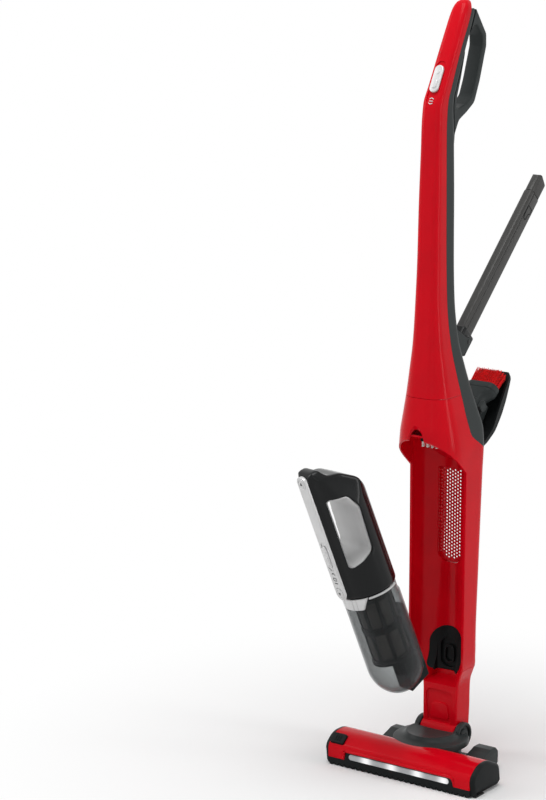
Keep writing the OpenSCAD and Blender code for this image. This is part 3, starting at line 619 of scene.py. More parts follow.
def shade(slot: Slot) -> bpy.types.Material:
    """Builds a slot's material.

    Args:
        slot: the slot.
    Returns:
        The material.
    """
    g = Graph(slot.value)
    if slot is Slot.CLEAR:
        haze = g.spread(g.noise(30.0), 0.08, 0.12)
        skin = g.node("ShaderNodeBsdfPrincipled", {"Base Color": (0.15, 0.155, 0.16, 1), "Roughness": haze})
        through = g.node("ShaderNodeBsdfTransparent", {"Color": (0.77, 0.78, 0.78, 1)})
        rim = g.node("ShaderNodeLayerWeight", {"Blend": 0.22}, out="Facing")
        mask = g.node("ShaderNodeMapRange", {"Value": rim, "To Min": 0.05, "To Max": 0.8})
        both = g.node("ShaderNodeMixShader", {0: mask, 1: through, 2: skin})
        g.node("ShaderNodeOutputMaterial", {"Surface": both})
        return g.material
    if slot is Slot.LAMP:
        wave = (g.place(0) * (2 * math.pi / 0.046) + 3.1416).sine() * 0.5 + 0.5
        color = g.blend(wave ** 2.4, (0.16, 0.165, 0.17), (1.0, 1.0, 1.0))
        face = g.node("ShaderNodeBsdfPrincipled", {
                "Base Color": (0.30, 0.31, 0.32, 1), "Roughness": g.spread(g.noise(2.0), 0.1, 0.2),
                "Emission Color": color, "Emission Strength": 0.75})
        g.node("ShaderNodeOutputMaterial", {"Surface": face})
        return g.material
    look = FINISHES[slot]
    wide = g.noise(45.0, 2.0)
    deep = tuple(c * (1 - look.tint) for c in look.color)
    pale = tuple(min(c * (1 + look.tint), 1.0) for c in look.color)
    tone = wide if look.tint < 0.2 else g.noise(2.5, 1.0)
    face = g.node("ShaderNodeBsdfPrincipled", {
            "Base Color": g.blend(g.spread(tone, 0.0, 1.0), deep, pale),
            "Roughness": g.spread(wide, look.rough - look.scuff, look.rough + look.scuff),
            "Metallic": look.metal, "Coat Weight": look.coat, "Coat Roughness": 0.06,
            "Specular IOR Level": look.shine,
            "Normal": g.node("ShaderNodeBump", {"Strength": look.relief, "Distance": 0.0004,
                    "Height": g.noise(look.grain_mm)})})
    g.node("ShaderNodeOutputMaterial", {"Surface": face})
    return g.material


@dataclass
class Piece:
    """A finished piece: its form, slot, body, and the CAD nodes that it stands for."""

    name: str
    form: Form
    slot: Slot
    body: Body
    stands_for: tuple[str, ...] = ()
    angle: float = 32.0

    def build(self, paints: dict[Slot, bpy.types.Material]) -> bpy.types.Object:
        """Makes the object, in metres, and hangs it on its body.

        Args:
            paints: the material of each slot.
        Returns:
            The object.
        """
        mesh = self.form.mesh(MM)
        mesh.name = self.name
        mesh.shade_smooth()
        mesh.set_sharp_from_angle(angle=math.radians(self.angle))
        mesh.materials.append(paints[self.slot])
        ob = bpy.data.objects.new(self.name, mesh)
        bpy.context.scene.collection.objects.link(ob)
        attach(ob, self.body.value)
        if self.stands_for:
            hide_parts(*self.stands_for)
        return ob


class Assembly:
    """A group of pieces that is made and dressed together."""

    def pieces(self) -> list[Piece]:
        """The finished pieces of the group."""
        raise NotImplementedError

    def build(self, paints: dict[Slot, bpy.types.Material]) -> None:
        """Makes every piece and reports it.

        Args:
            paints: the material of each slot.
        """
        for piece in self.pieces():
            ob = piece.build(paints)
            LOG.info("%s: %s on %s, %d faces", type(self).__name__, piece.name, piece.body.value,
                len(ob.data.polygons))


# ---------------------------------------------------------------- nozzle


@dataclass
class Nozzle(Assembly):
    """The floor nozzle: hood, lamp, end caps, release key, legs and wheels."""

    cover_half: float = 125.5
    cap_half: float = 132.5
    swivel_y: float = 15.0
    skirt_r: float = 58.2
    skirt_z: float = 36.2
    key_at: tuple[float, float, float] = (-112.4, -66, 39.5)
    key_slope: float = 38.3
    key_size: tuple[float, float] = (24.0, 17.0)
    wheel_at: Point2 = (47, 14)
    well_r: float = 47.0
    hood_gap: float = 0.15
    cap_round: float = 5.2
    outside: Sequence[Point2] = ((-75, 12), (-76, 31), (-56, 47), (-30, 47), (-2, 34), (2, 12))
    inside: Sequence[Point2] = ((-72.5, 11), (-73.5, 31), (-54.8, 44.5), (-30, 44.5), (-4.5, 31.5),
        (-0.5, 11))
    cap_line: Sequence[Point2] = ((-72, 2.5), (-76, 31), (-56, 47), (-30, 47), (-2, 34), (2, 8), (-6, 2.5))
    leg_line: Sequence[Point2] = ((2, 4), (2, 22), (32, 31), (40, 34), (55, 34), (62, 27), (62, 9), (56, 4))

    def on_slope(self, form: Form) -> Form:
        """Moves a form from the XY plane onto the nozzle's sloping face."""
        slope = Matrix.Rotation(math.radians(self.key_slope), 4, "X")
        return form.moved(Matrix.Translation(self.key_at) @ slope)

    def key_outline(self, grow: float = 0.0) -> list[Point2]:
        """The release key's rounded outline."""
        w, h = self.key_size[0] / 2 + grow, self.key_size[1] / 2 + grow
        return soft(box2(-w, w, -h, h), 2.6)

    def hood(self) -> Form:
        """The red hood with its swivel well, lamp recess, key seat and brow.

        Returns:
            The form.
        """
        back = reversed(soft(self.inside, [0, 11.5, 27.5, 37.5, 11.5, 0]))
        shell = soft(self.outside, [0, 14, 30, 40, 14, 0]) + list(back)
        r, wide, step = self.well_r, self.skirt_r, self.skirt_z
        well = Form.revolve([(0, 11), (r, 11), (r, step), (wide, step), (wide, 90), (0, 90)],
            (0, self.swivel_y))
        lamp_line = soft([(-98, 9), (98, 9), (94, 26), (-94, 26)], [0, 0, 5, 5])
        recess = Form.plate(lamp_line, -82, -71.5, Plane.XZ)
        seat = self.on_slope(Form.plate(self.key_outline(0.4), -9, 9, Plane.XY))
        half = self.cover_half - self.hood_gap
        ends = [(99, -74.6, 12, 0.8), (98, -75.4, 19, 1.4), (95.6, -75.9, 24.6, 2), (92, -76.2, 26.8, 2.3),
            (60, -76.2, 27, 2.4)]
        line = [(-x, y, z) for x, y, z, _ in ends] + [(x, y, z) for x, y, z, _ in reversed(ends)]
        brow = Form.tube(line, [r for *_, r in ends] + [r for *_, r in reversed(ends)], 16)
        return Form.plate(shell, -half, half, Plane.YZ).cut(well, recess, seat).plus(brow)

    def lamp_frame(self) -> Form:
        """The black surround of the lamp.

        Returns:
            The form.
        """
        lens = soft(box2(-89, 89, 13.4, 22.4), 4.4)
        line = soft([(-97.2, 9.6), (97.2, 9.6), (93.4, 25.4), (-93.4, 25.4)], [0.6, 0.6, 4.6, 4.6])
        return Form.plate(line, -74.9, -71.8, Plane.XZ, 0.5, [lens])

    def lamp_window(self) -> Form:
        """The lamp's crowned window."""
        return Form.plate(soft(box2(-88.8, 88.8, 13.6, 22.2), 4.2), -75.3, -72.4, Plane.XZ, 1.2)

    def cap(self) -> Form:
        """The end cap on the right, flat inside and rounded outside.

        Returns:
            The form.
        """
        line = soft(self.cap_line, [3, 14, 30, 40, 14, 5, 3], 12)
        plate = Form.plate(line, self.cover_half - 6, self.cap_half, Plane.YZ, self.cap_round, steps=6)
        return plate.keep(block((self.cover_half, -90, -5), (self.cap_half + 5, 20, 60)))

    def key(self) -> Form:
        """The release key with its three ribs."""
        ribs = [Form.plate(soft(box2(k * 4 - 0.8, k * 4 + 0.8, -5, 5), 0.7), 3.0, 4.1, Plane.XY, 0.4)
            for k in (-1, 0, 1)]
        return self.on_slope(Form.plate(self.key_outline(), -3, 3.2, Plane.XY, 0.9).plus(*ribs))

    def leg(self) -> Form:
        """The right leg with its wheel well.

        Returns:
            The form.
        """
        y, z = self.wheel_at
        well = lathe_x([(0, 66), (15.5, 66), (15.5, 84), (0, 84)], y, z)
        return Form.plate(soft(self.leg_line, [0, 2, 5, 3, 4, 4, 3, 3]), 59.8, 90.2, Plane.YZ, 1.6).cut(well)

    def wheel(self) -> Form:
        """The right wheel: a hub, a groove and a tread with two ribs."""
        half = [(0, 67.6), (5, 67.6), (5.6, 68.4), (9, 68.4), (9.6, 67.2), (12.6, 67.2), (14, 68.6),
            (14, 71.6), (13.4, 72), (13.4, 72.6), (14, 73)]
        return lathe_x(half + [(r, 150 - x) for r, x in reversed(half)], *self.wheel_at)

    def pieces(self) -> list[Piece]:
        """The nozzle's pieces, each with the solid that it stands for.

        Returns:
            The pieces.
        """
        cap, leg, wheel = self.cap(), self.leg(), self.wheel()
        return [
            Piece("nozzle_hood", self.hood(), Slot.RED, Body.NOZZLE, ("nozzle_cover",)),
            Piece("lamp_frame", self.lamp_frame(), Slot.BLACK, Body.NOZZLE),
            Piece("lamp_window", self.lamp_window(), Slot.LAMP, Body.NOZZLE, ("lamp_lens",)),
            Piece("cap_right", cap, Slot.BLACK, Body.NOZZLE, ("end_cap_right",)),
            Piece("cap_left", cap.mirrored(), Slot.BLACK, Body.NOZZLE, ("end_cap_left",)),
            Piece("release_key", self.key(), Slot.BLACK, Body.RELEASE, ("release_button",)),
            Piece("wheel_legs", leg.plus(leg.mirrored()), Slot.GREY, Body.NOZZLE, ("rear_legs",)),
            Piece("wheel_r", wheel, Slot.GREY, Body.WHEEL_R, ("wheel_right",)),
            Piece("wheel_l", wheel.mirrored(), Slot.GREY, Body.WHEEL_L, ("wheel_left",)),
        ]


@dataclass
class BrushRoll(Assembly):
    """The brush roll's core and its two colours of tufts, set in four spirals."""

    axis: Point2 = (-51.5, 18.0)
    lanes: int = 4
    tufts: int = 52
    pitch: float = 4.05
    twist: float = 5.6
    root_r: float = 10.0
    tip_r: float = 16.6
    first_x: float = -106.0
    strand_gap: float = 1.3
    strand_r: Sequence[float] = (1.1, 1.0)

    def core(self) -> Form:
        """The turned core with its end bearings."""
        line = [(0, -129), (3, -129), (3, -112), (8, -110), (10.4, -108), (10.4, 104), (6, 106), (6, 117),
            (3, 118), (3, 129), (0, 129)]
        return lathe_x(line, *self.axis, 40)

    def lane(self, index: int) -> list[Form]:
        """The tufts of one spiral, each of two strands.

        Args:
            index: which spiral.
        Returns:
            The strands.
        """
        y, z = self.axis
        strands = []
        for k in range(self.tufts):
            x = self.first_x + k * self.pitch
            a = math.radians(index * 360 / self.lanes + k * self.twist)
            u, v = math.cos(a), math.sin(a)
            for s in (-self.strand_gap, self.strand_gap):
                foot = Vector((x + s * 0.6, y + self.root_r * u - s * v, z + self.root_r * v + s * u))
                tip = Vector((x + s, y + self.tip_r * u - s * 1.5 * v, z + self.tip_r * v + s * 1.5 * u))
                strands.append(Form.tube([foot, tip], self.strand_r, 5))
        return strands

    def pieces(self) -> list[Piece]:
        """The core, and the tufts in two colours.

        Returns:
            The pieces.
        """
        dark = [f for i in range(0, self.lanes, 2) for f in self.lane(i)]
        red = [f for i in range(1, self.lanes, 2) for f in self.lane(i)]
        return [
            Piece("roll_core", self.core(), Slot.ROLL, Body.ROLL, ("brush_roll",)),
            Piece("roll_tufts_dark", dark[0].plus(*dark[1:]), Slot.TUFT_DARK, Body.ROLL, ("roll_bristles",)),
            Piece("roll_tufts_red", red[0].plus(*red[1:]), Slot.TUFT_RED, Body.ROLL),
        ]


@dataclass
class Turret(Assembly):
    """The dished swivel disc with its two ringed ears."""

    swivel_y: float = 15.0
    tilt: Point2 = (47.0, 44.0)
    skirt_r: float = 57.2
    brim_r: float = 38.4
    dish_r: float = 38.2
    core_r: float = 46.0
    gap_half: float = 31.0
    barrel_r: float = 21.6
    ear_r: float = 20.0

    def hat(self) -> Form:
        """The flared skirt and the flat dish, cut away for the neck's barrel.

        Returns:
            The form.
        """
        slope = Curve1([self.brim_r, 40.5, 44, 48, 52, self.skirt_r - 1],
            [53.2, 50.4, 48.0, 46.8, 46.1, 45.4])
        top = [(r, slope(r)) for r in np.linspace(self.skirt_r - 1, self.brim_r, 30)]
        dish = [(self.dish_r, 53.9), (37.6, 54.5), (36.6, 54.7), (35.4, 54.5), (33, 53.9), (26, 53.3),
            (15, 52.9), (0, 52.8)]
        skirt = [(0, 12.4), (self.core_r, 12.4), (self.core_r, 36.6), (self.skirt_r, 36.6),
            (self.skirt_r + 0.2, 43.6), (self.skirt_r - 0.2, 44.8)]
        hat = Form.revolve(skirt + top + dish, (0, self.swivel_y), 128)
        y = self.tilt[0]
        w, r = self.gap_half, self.barrel_r
        barrel = lathe_x([(0, -w), (r, -w), (r, w), (0, w)], *self.tilt)
        return hat.cut(block((-w, 25, 18), (w, 110, 90)), block((-90, y, 5), (90, 110, 90)), barrel)

    def ear(self) -> Form:
        """The right ear: a round boss with a raised ring and a sunk centre.

        Returns:
            The form.
        """
        r = self.ear_r
        line = [(0, 31), (18.6, 31), (r, 32.4), (r, 38.4), (r - 1.2, 39.8), (r - 4, 39.8), (r - 5, 38.6),
            (r - 5, 36.4), (10.6, 36.4),
            (10, 38.6), (9.2, 39.5), (5, 39.7), (4.4, 39), (0, 39)]
        return lathe_x(line, *self.tilt)

    def pieces(self) -> list[Piece]:
        """One piece for the turret and its pin."""
        ear = self.ear()
        return [Piece("turret_hat", self.hat().plus(ear, ear.mirrored()), Slot.GREY, Body.TURRET,
                ("turret", "tilt_pin"))]


# ---------------------------------------------------------------- upright


def smooth_line(points: Sequence[Point2], n: int = 120) -> list[Point2]:
    """Points on a smooth curve of Y through heights.

    Args:
        points: Y and Z of each point. n: how many points to give back.
    Returns:
        The curve's points, rising.
    """
    line = sorted((z, y) for y, z in points)
    curve = Curve1([p[0] for p in line], [p[1] for p in line])
    return [(curve(z), z) for z in np.linspace(line[0][0], line[-1][0], n)]


def skin_form(rows: Sequence[Row], lo: float, hi: float, step: float = 5.0, inset: float = 0.0,
        lip: float = 0.0) -> Form:
    """A closed loft through rows.

    Args:
        rows: the table. lo: low height. hi: high height. step: spacing of rings.
        inset: how far it is drawn in. lip: how far both ends round over.
    Returns:
        The form.
    """
    skin = Skin(rows)
    heights = list(np.linspace(lo, hi, max(int((hi - lo) / step), 2) + 1))
    rings = [[(x, y, z) for x, y in skin.ring(z, inset)] for z in heights]
    if lip:
        ends = [(0.0, lip), (0.12 * lip, 0.5 * lip), (0.5 * lip, 0.12 * lip), (lip, 0.0)]
        low = [[(x, y, lo + dz) for x, y in skin.ring(lo + dz, inset + d)] for dz, d in ends]
        high = [[(x, y, hi - dz) for x, y in skin.ring(hi - dz, inset + d)] for dz, d in reversed(ends)]
        rings = low + [r for r in rings if lo + lip < r[0][2] < hi - lip] + high
    return Form.loft(rings)


def side(points: Sequence[Point2], half: float = 90.0) -> Form:
    """A prism along X with a side view of Y and Z."""
    return Form.plate(points, -half, half, Plane.YZ)


@dataclass
class Upright(Assembly):
    """What the dock, the head and the stick share: the outer skins, the trough and the colour line."""

    trough_y: float = 18.0
    trough_r: float = 45.5
    rim_y: float = 24.0
    seam_z: float = 573.0
    wall: float = 2.5
    handle_y: float = -8.0
    handle_z: float = 1003.0
    handle_lean: float = 0.536
    stick: Sequence[Row] = (
        (452, 49.5, -36, 81.9, 43, 18), (490, 50.3, -36, 83.2, 44, 18), (514, 48.5, -36, 83, 43, 17),
        (547, 42, -32, 75, 35, 16), (575, 36.5, -28.6, 67, 29, 16), (609, 31, -24.6, 57, 22, 15),
        (655, 24.5, -21.5, 46, 16, 14), (714, 20.5, -19.5, 39.8, 12, 13), (772, 19, -17.5, 38.8, 11, 13),
        (860, 18, -15.7, 38.8, 10, 13), (930, 17, -13.8, 38, 10, 13), (975, 16.5, -12, 36.5, 9, 13),
        (992, 16, -10.6, 35.6, 9, 12), (1003, 16, -8, 36.5, 9, 12), (1012, 15.8, -3.4, 39.2, 9, 11.6),
        (1020, 15.5, 1.1, 43, 9, 11), (1072, 15, 29, 66, 9, 11), (1112, 14.3, 50.4, 84.8, 9, 10),
        (1127, 13.4, 58.6, 91, 9, 10), (1134, 11.6, 63, 90, 8, 9), (1139, 9, 67.4, 87, 7, 7),
        (1142, 6, 71.6, 83.6, 4, 4), (1143, 3, 75, 80.6, 2.8, 2.8))
    dock: Sequence[Row] = (
        (150, 43, 29, 76, 5, 12), (158, 45.6, 26.9, 74.3, 3, 14), (165, 47, 25.5, 73, 1.5, 16),
        (180, 48.6, 24.2, 71.7, 0.8, 17), (195, 49, 24, 71.5, 0.8, 18), (300, 49, 24, 75.5, 0.8, 18),
        (458, 49.6, 24, 82.15, 0.8, 18))
    parting: Sequence[Point2] = (
        (90, 476), (60, 496), (37, 514), (27, 573), (16, 640), (10.5, 713), (9, 860), (9, 955), (14, 1003),
        (22, 1020), (46, 1072), (76, 1128), (84, 1150))

    def behind(self, gap: float = 0.0) -> Form:
        """All that lies behind the line where red meets grey."""
        line = [(y + gap, z) for y, z in smooth_line(self.parting)]
        return side(line + [(220, 1150), (220, 476)])

    def ahead(self) -> Form:
        """All that lies ahead of that line."""
        return side(smooth_line(self.parting) + [(-120, 1150), (-120, 60), (120, 60), (120, 476)])

    def trough(self, shrink: float = 0.0) -> Form:
        """The room of the docked hand unit.

        Args:
            shrink: how far it is drawn in.
        Returns:
            The form.
        """
        r = self.trough_r - shrink
        angles = [math.radians(a) for a in np.linspace(-90, 0, 30)]
        dome = [(r * math.cos(a), 175 + (56 - shrink) * math.sin(a)) for a in angles]
        return Form.revolve(dome + [(r, z) for z in range(180, 502, 20)] + [(r, 501.3), (0, 501.3)],
            (0, self.trough_y), 160)


@dataclass
class Dock(Upright):
    """The neck, the dock's shell, its grille and the black socket in it."""

    tilt: Point2 = (47.0, 44.0)
    neck: Sequence[Row] = (
        (50, 30, 37, 78, 4, 8), (90, 30, 36, 80, 4, 8), (120, 31, 36, 80, 5, 9), (129, 33, 35.4, 79.7, 5, 10),
        (138, 37, 32.8, 78.6, 5, 11), (149.6, 42.8, 29.1, 76.1, 5, 12))
    window_half: float = 21.0
    window_low: float = 305.0
    window_high: float = 452.0
    way_half: float = 18.7
    hole_line: Sequence[Point2] = ((-14.5, 141), (14.5, 141), (14.5, 188), (-14.5, 188))
    hole_d: float = 2.7
    columns: int = 9
    column_pitch: float = 4.6
    row_pitch: float = 5.2

    def mouth(self) -> Form:
        """The open front of the trough's foot."""
        return Form.plate([(-34, 15), (34, 15), (22, 62), (-22, 62)], 112, 175, Plane.XY).keep(
            side([(10, 115.5), (36, 121), (70, 131), (70, 200), (10, 200)]))

    def socket_room(self) -> Form:
        """The room behind the trough that the socket fills."""
        return block((-21, 50, 136), (21, 67.5, 196))

    def neck_body(self) -> Form:
        """The neck with its tilt barrel and the bulged pad in its front recess.

        Returns:
            The form.
        """
        barrel = lathe_x([(0, -30), (18.2, -30), (19, -29.2), (19, 29.2), (18.2, 30), (0, 30)], *self.tilt)
        clear = lathe_x([(0, -60), (18.6, -60), (18.6, 60), (0, 60)], *self.tilt)
        dip_line = soft([(-21, 60), (21, 60), (24, 112), (-24, 112)], [6, 6, 10, 10])
        dip = Form.plate(dip_line, 20, 38.6, Plane.XZ, 1.0)
        pad_line = soft([(-17, 66), (17, 66), (13, 92), (-13, 92)], [5, 5, 8, 8])
        pad = Form.plate(pad_line, 36.8, 41, Plane.XZ, 1.2)
        body = skin_form(self.neck, 50, 149.6, 2.5, lip=0.7)
        return body.cut(clear, self.trough(), self.mouth(), self.socket_room(), dip).plus(barrel, pad)

    def shell(self) -> Form:
        """The dock's red shell with its trough, window and screw pits.

        Returns:
            The form.
        """
        w = self.window_half
        outline = soft(box2(-w, w, self.window_low, self.window_high), [17, 17, 2, 2])
        window = Form.plate(outline, 50, 100, Plane.XZ)
        places = [(s * 34, z) for s in (-1, 1) for z in (215, 290)]
        pits = [Form.plate(arc(place, 4.2, 0, 345, 23), 69.6, 100, Plane.XZ) for place in places]
        body = skin_form(self.dock, 150.0, 458, 4.0)
        return body.cut(self.trough(), self.mouth(), self.socket_room(), window, *pits)

    def grille(self) -> Form:
        """The thin perforated plate in the window.

        Returns:
            The form.
        """
        w = self.window_half - 0.3
        outline = soft(box2(-w, w, self.window_low + 0.3, self.window_high - 0.3), [16.7, 16.7, 1.7, 1.7])
        holes = []
        for i in range(self.columns):
            x = (i - (self.columns - 1) / 2) * self.column_pitch
            z = self.window_low + 5 + (i % 2) * self.row_pitch / 2
            while z < self.window_high - 4:
                if z - self.window_low > 6 + 0.6 * max(abs(x) - 8, 0):
                    holes.append(arc((x, z), self.hole_d / 2, 0, 337.5, 15))
                z += self.row_pitch
        return Form.plate(outline, 65.0, 66.1, Plane.XZ, 0, holes)

    def socket(self) -> Form:
        """The black socket, and its lining that spreads over the trough's wall.

        Returns:
            The form.
        """
        r, w = self.trough_r, self.way_half
        frame_line = soft([(-20.7, 136.5), (20.7, 136.5), (20.7, 195.5), (-20.7, 195.5)], [2, 2, 20, 20], 16)
        arch = Form.plate(frame_line, 50.4, 67.2, Plane.XZ)
        way = Form.revolve([(0, 100), (r, 100), (r, 300), (0, 300)], (0, self.trough_y), 96).keep(
            block((-w, 20, 110), (w, 70, 196)))
        hole = soft(self.hole_line, [12, 12, 14, 14], 12)
        ring = Form.plate(hole, 50, 66, Plane.XZ)
        inner = Form.plate(soft([(-9, 147), (9, 147), (9, 176), (-9, 176)], 8, 12), 61.6, 66.6, Plane.XZ, 1.0,
            [soft([(-6, 150), (6, 150), (6, 173), (-6, 173)], 5.5)])
        spread = Form.plate(soft([(-29, 140), (29, 140), (29, 206), (-29, 206)], [10, 10, 27, 27], 16),
            30, 66, Plane.XZ)
        lining = self.trough(-0.3).cut(self.trough(0.5)).keep(spread).cut(
            Form.plate(hole, 30, 90, Plane.XZ), block((-w, 20, 110), (w, 70, 175.2)))
        return arch.cut(self.trough(), ring, way).plus(inner, lining)

    def pieces(self) -> list[Piece]:
        """The dock's four pieces.

        Returns:
            The pieces.
        """
        return [
            Piece("neck_body", self.neck_body(), Slot.RED, Body.UPRIGHT, ("neck", "neck_barrel")),
            Piece("dock_body", self.shell(), Slot.RED, Body.UPRIGHT, ("dock_shell",)),
            Piece("dock_grille", self.grille(), Slot.RED, Body.UPRIGHT, ("air_grille",)),
            Piece("dock_mouth", self.socket(), Slot.BLACK, Body.UPRIGHT, ("dock_socket",)),
        ]


@dataclass
class Head(Upright):
    """The head with its lip and roof, and the red front of the stick with its switch."""

    scoop_at: tuple[float, float, float] = (-1, -44, 512)
    scoop_r: float = 16.0
    pocket: tuple[float, float] = (17.6, 68.0)
    key_size: tuple[float, float] = (14.4, 42.0)

    def on_handle(self, form: Form, up: float = 0.0) -> Form:
        """Stands a form on the leaning face of the handle.

        Args:
            form: the form. up: how far up the handle it goes.
        Returns:
            The form.
        """
        leaning = Matrix.Rotation(-math.atan(self.handle_lean), 4, "X")
        face = Matrix.Translation((0, self.handle_y, self.handle_z)) @ leaning
        return form.moved(face @ Matrix.Translation((0, 0, up)))

    def head(self) -> Form:
        """The widening head with its lip and thumb scoop.

        Returns:
            The form.
        """
        r = self.rim_y
        lip = side([(-60, 430), (r, 430), (r, 458), (-36, 512), (-60, 512)])
        rounded = [(0, -15), (12, -15), (15, -12), (self.scoop_r, -6), (self.scoop_r, 20), (0, 20)]
        scoop = Form.revolve(rounded, n=64).moved(
            Matrix.Translation(self.scoop_at) @ Matrix.Rotation(math.radians(20), 4, "X"))
        hollow = skin_form(self.stick, 501.2, 640, 5.0, inset=self.wall)
        low = skin_form(self.stick, 452, 501.4, 5.0, inset=self.wall).keep(
            side([(-60, 440), (r, 440), (r, 505), (-60, 505)]))
        head = skin_form(self.stick, 458, self.seam_z, 3.0)
        return head.cut(self.trough(), hollow, low, lip, scoop).keep(self.ahead())

    def roof(self) -> Form:
        """The sloping roof of the trough inside the head.

        Returns:
            The form.
        """
        line = [(-32, 515.5), (-6, 513), (26, 501), (50, 483), (63.5, 464), (66, 466), (52, 486), (27, 504),
            (-6, 516), (-32, 518.5)]
        roof = side(line).keep(skin_form(self.stick, 454, 560, 4.0, inset=2.6))
        r = self.trough_r - 0.1
        solid = skin_form([*self.dock, (501.3, 50.6, 24, 83.6, 0.8, 18)], 452, 501.3, 5.0)
        bore = Form.revolve([(0, 400), (r, 400), (r, 600), (0, 600)], (0, self.trough_y), 96)
        return roof.cut(solid.cut(bore))

    def front(self) -> Form:
        """The red front of the stick with the switch's pocket."""
        pocket = self.on_handle(Form.plate(capsule(*self.pocket), -3, 1.3, Plane.XZ), 28)
        return skin_form(self.stick, self.seam_z + 0.6, 1143, 4.0).keep(self.ahead()).cut(pocket)

    def marks(self) -> Form:
        """The raised arrows and bar beside the switch.

        Returns:
            The form.
        """
        lines = (
            soft([(-3.4, 3), (0, 4.6), (3.4, 3), (3.4, 4.2), (0, 5.8), (-3.4, 4.2)], 0.2),
            soft(box2(-3, 3, -0.2, 0.9), 0.2),
            soft([(-3.4, -2), (0, -3.6), (3.4, -2), (3.4, -3.2), (0, -4.8), (-3.4, -3.2)], 0.2))
        forms = [self.on_handle(Form.plate(line, 0.2, 1.6, Plane.XZ)) for line in lines]
        return forms[0].plus(*forms[1:])

    def key(self) -> Form:
        """The switch's slider with its thumb rest.

        Returns:
            The form.
        """
        rest = Form.plate(soft(box2(-4.3, 4.3, -15.5, -1), 4.1), -4.7, 0, Plane.XZ, 1.3, steps=4)
        dot = Form.plate(arc((0, 10), 3.4, 0, 345, 23), -4.0, 0, Plane.XZ, 0.5)
        key = Form.plate(capsule(*self.key_size), -3.4, 0.9, Plane.XZ, 1.6, steps=5)
        return self.on_handle(key.plus(rest, dot), 34)

    def pieces(self) -> list[Piece]:
        """The head's and the stick's pieces.

        Returns:
            The pieces.
        """
        return [
            Piece("head_body", self.head(), Slot.RED, Body.UPRIGHT, ("head_cover",)),
            Piece("head_roof", self.roof(), Slot.RED, Body.UPRIGHT, ("dock_roof",)),
            Piece("stick_body", self.front(), Slot.RED, Body.UPRIGHT, ("stick_front",)),
            Piece("switch_marks", self.marks(), Slot.SILVER, Body.UPRIGHT),
            Piece("switch_key", self.key(), Slot.SILVER, Body.SWITCH, ("switch_slider",)),
        ]


@dataclass
class Rear(Upright):
    """The grey rear shell and the handle's loop."""

    loop_half: float = 12.0
    loop_outer: Sequence[Point2] = (
        (76, 1140), (93, 1128), (105, 1112), (121, 1091), (121.5, 1073), (105, 1024), (91, 993), (70, 980.5),
        (50, 971), (39.5, 952), (37.6, 925), (30, 925), (30, 1000), (58, 1078))
    loop_inner: Sequence[Point2] = (
        (70.6, 1088), (90, 1108), (109.6, 1088), (110.2, 1074), (94, 1027), (83.4, 1003.6), (66, 993),
        (42.5, 986.5), (43.5, 1002), (54, 1032))

    def shell(self) -> Form:
        """The grey rear shell with the flap's window.

        Returns:
            The form.
        """
        window = soft([(-29.5, 497), (29.5, 497), (29.5, 600), (24, 608), (-24, 608), (-29.5, 600)],
            [3, 3, 6, 4, 4, 6])
        inner = skin_form(self.stick, 470, 1120, 5.0, inset=self.wall)
        whole = skin_form(self.stick, 478, 1129, 3.0).keep(self.behind(0.35))
        return whole.cut(inner, Form.plate(window, 20, 140, Plane.XZ),
            block((-14, 66, 470), (14, 120, 497.1)))

    def loop(self) -> Form:
        """The handle's rounded loop, from the stick's back outwards.

        Returns:
            The form.
        """
        outer = soft(self.loop_outer, [0, 7, 10, 13, 14, 40, 18, 16, 16, 14, 0, 0, 0, 0], 8)
        hole = soft(self.loop_inner, [8, 7, 7, 12, 25, 16, 12, 5, 9, 20], 8)
        skin = Skin(self.stick)
        back = [(skin.curves[2](z) + 0.2, z) for z in np.linspace(900, 1127.5, 60)]
        return Form.plate(outer, -self.loop_half, self.loop_half, Plane.YZ, 2.6, [hole], 5).keep(
            side([*back, (150, 1127.5), (150, 900)]))

    def pieces(self) -> list[Piece]:
        """The shell and the loop."""
        return [
            Piece("rear_body", self.shell(), Slot.GREY, Body.UPRIGHT, ("rear_shell",)),
            Piece("loop_body", self.loop(), Slot.GREY, Body.UPRIGHT, ("handle_loop",)),
        ]


# ---------------------------------------------------------------- what hangs on the back


def oval(w: float, d: float, y: float, n: int = 20) -> list[Point2]:
    """A long oval across the object: half width, half depth and where it sits front to back."""
    return soft(box2(-w, w, y - d, y + d), min(d, w) - 0.1, n)


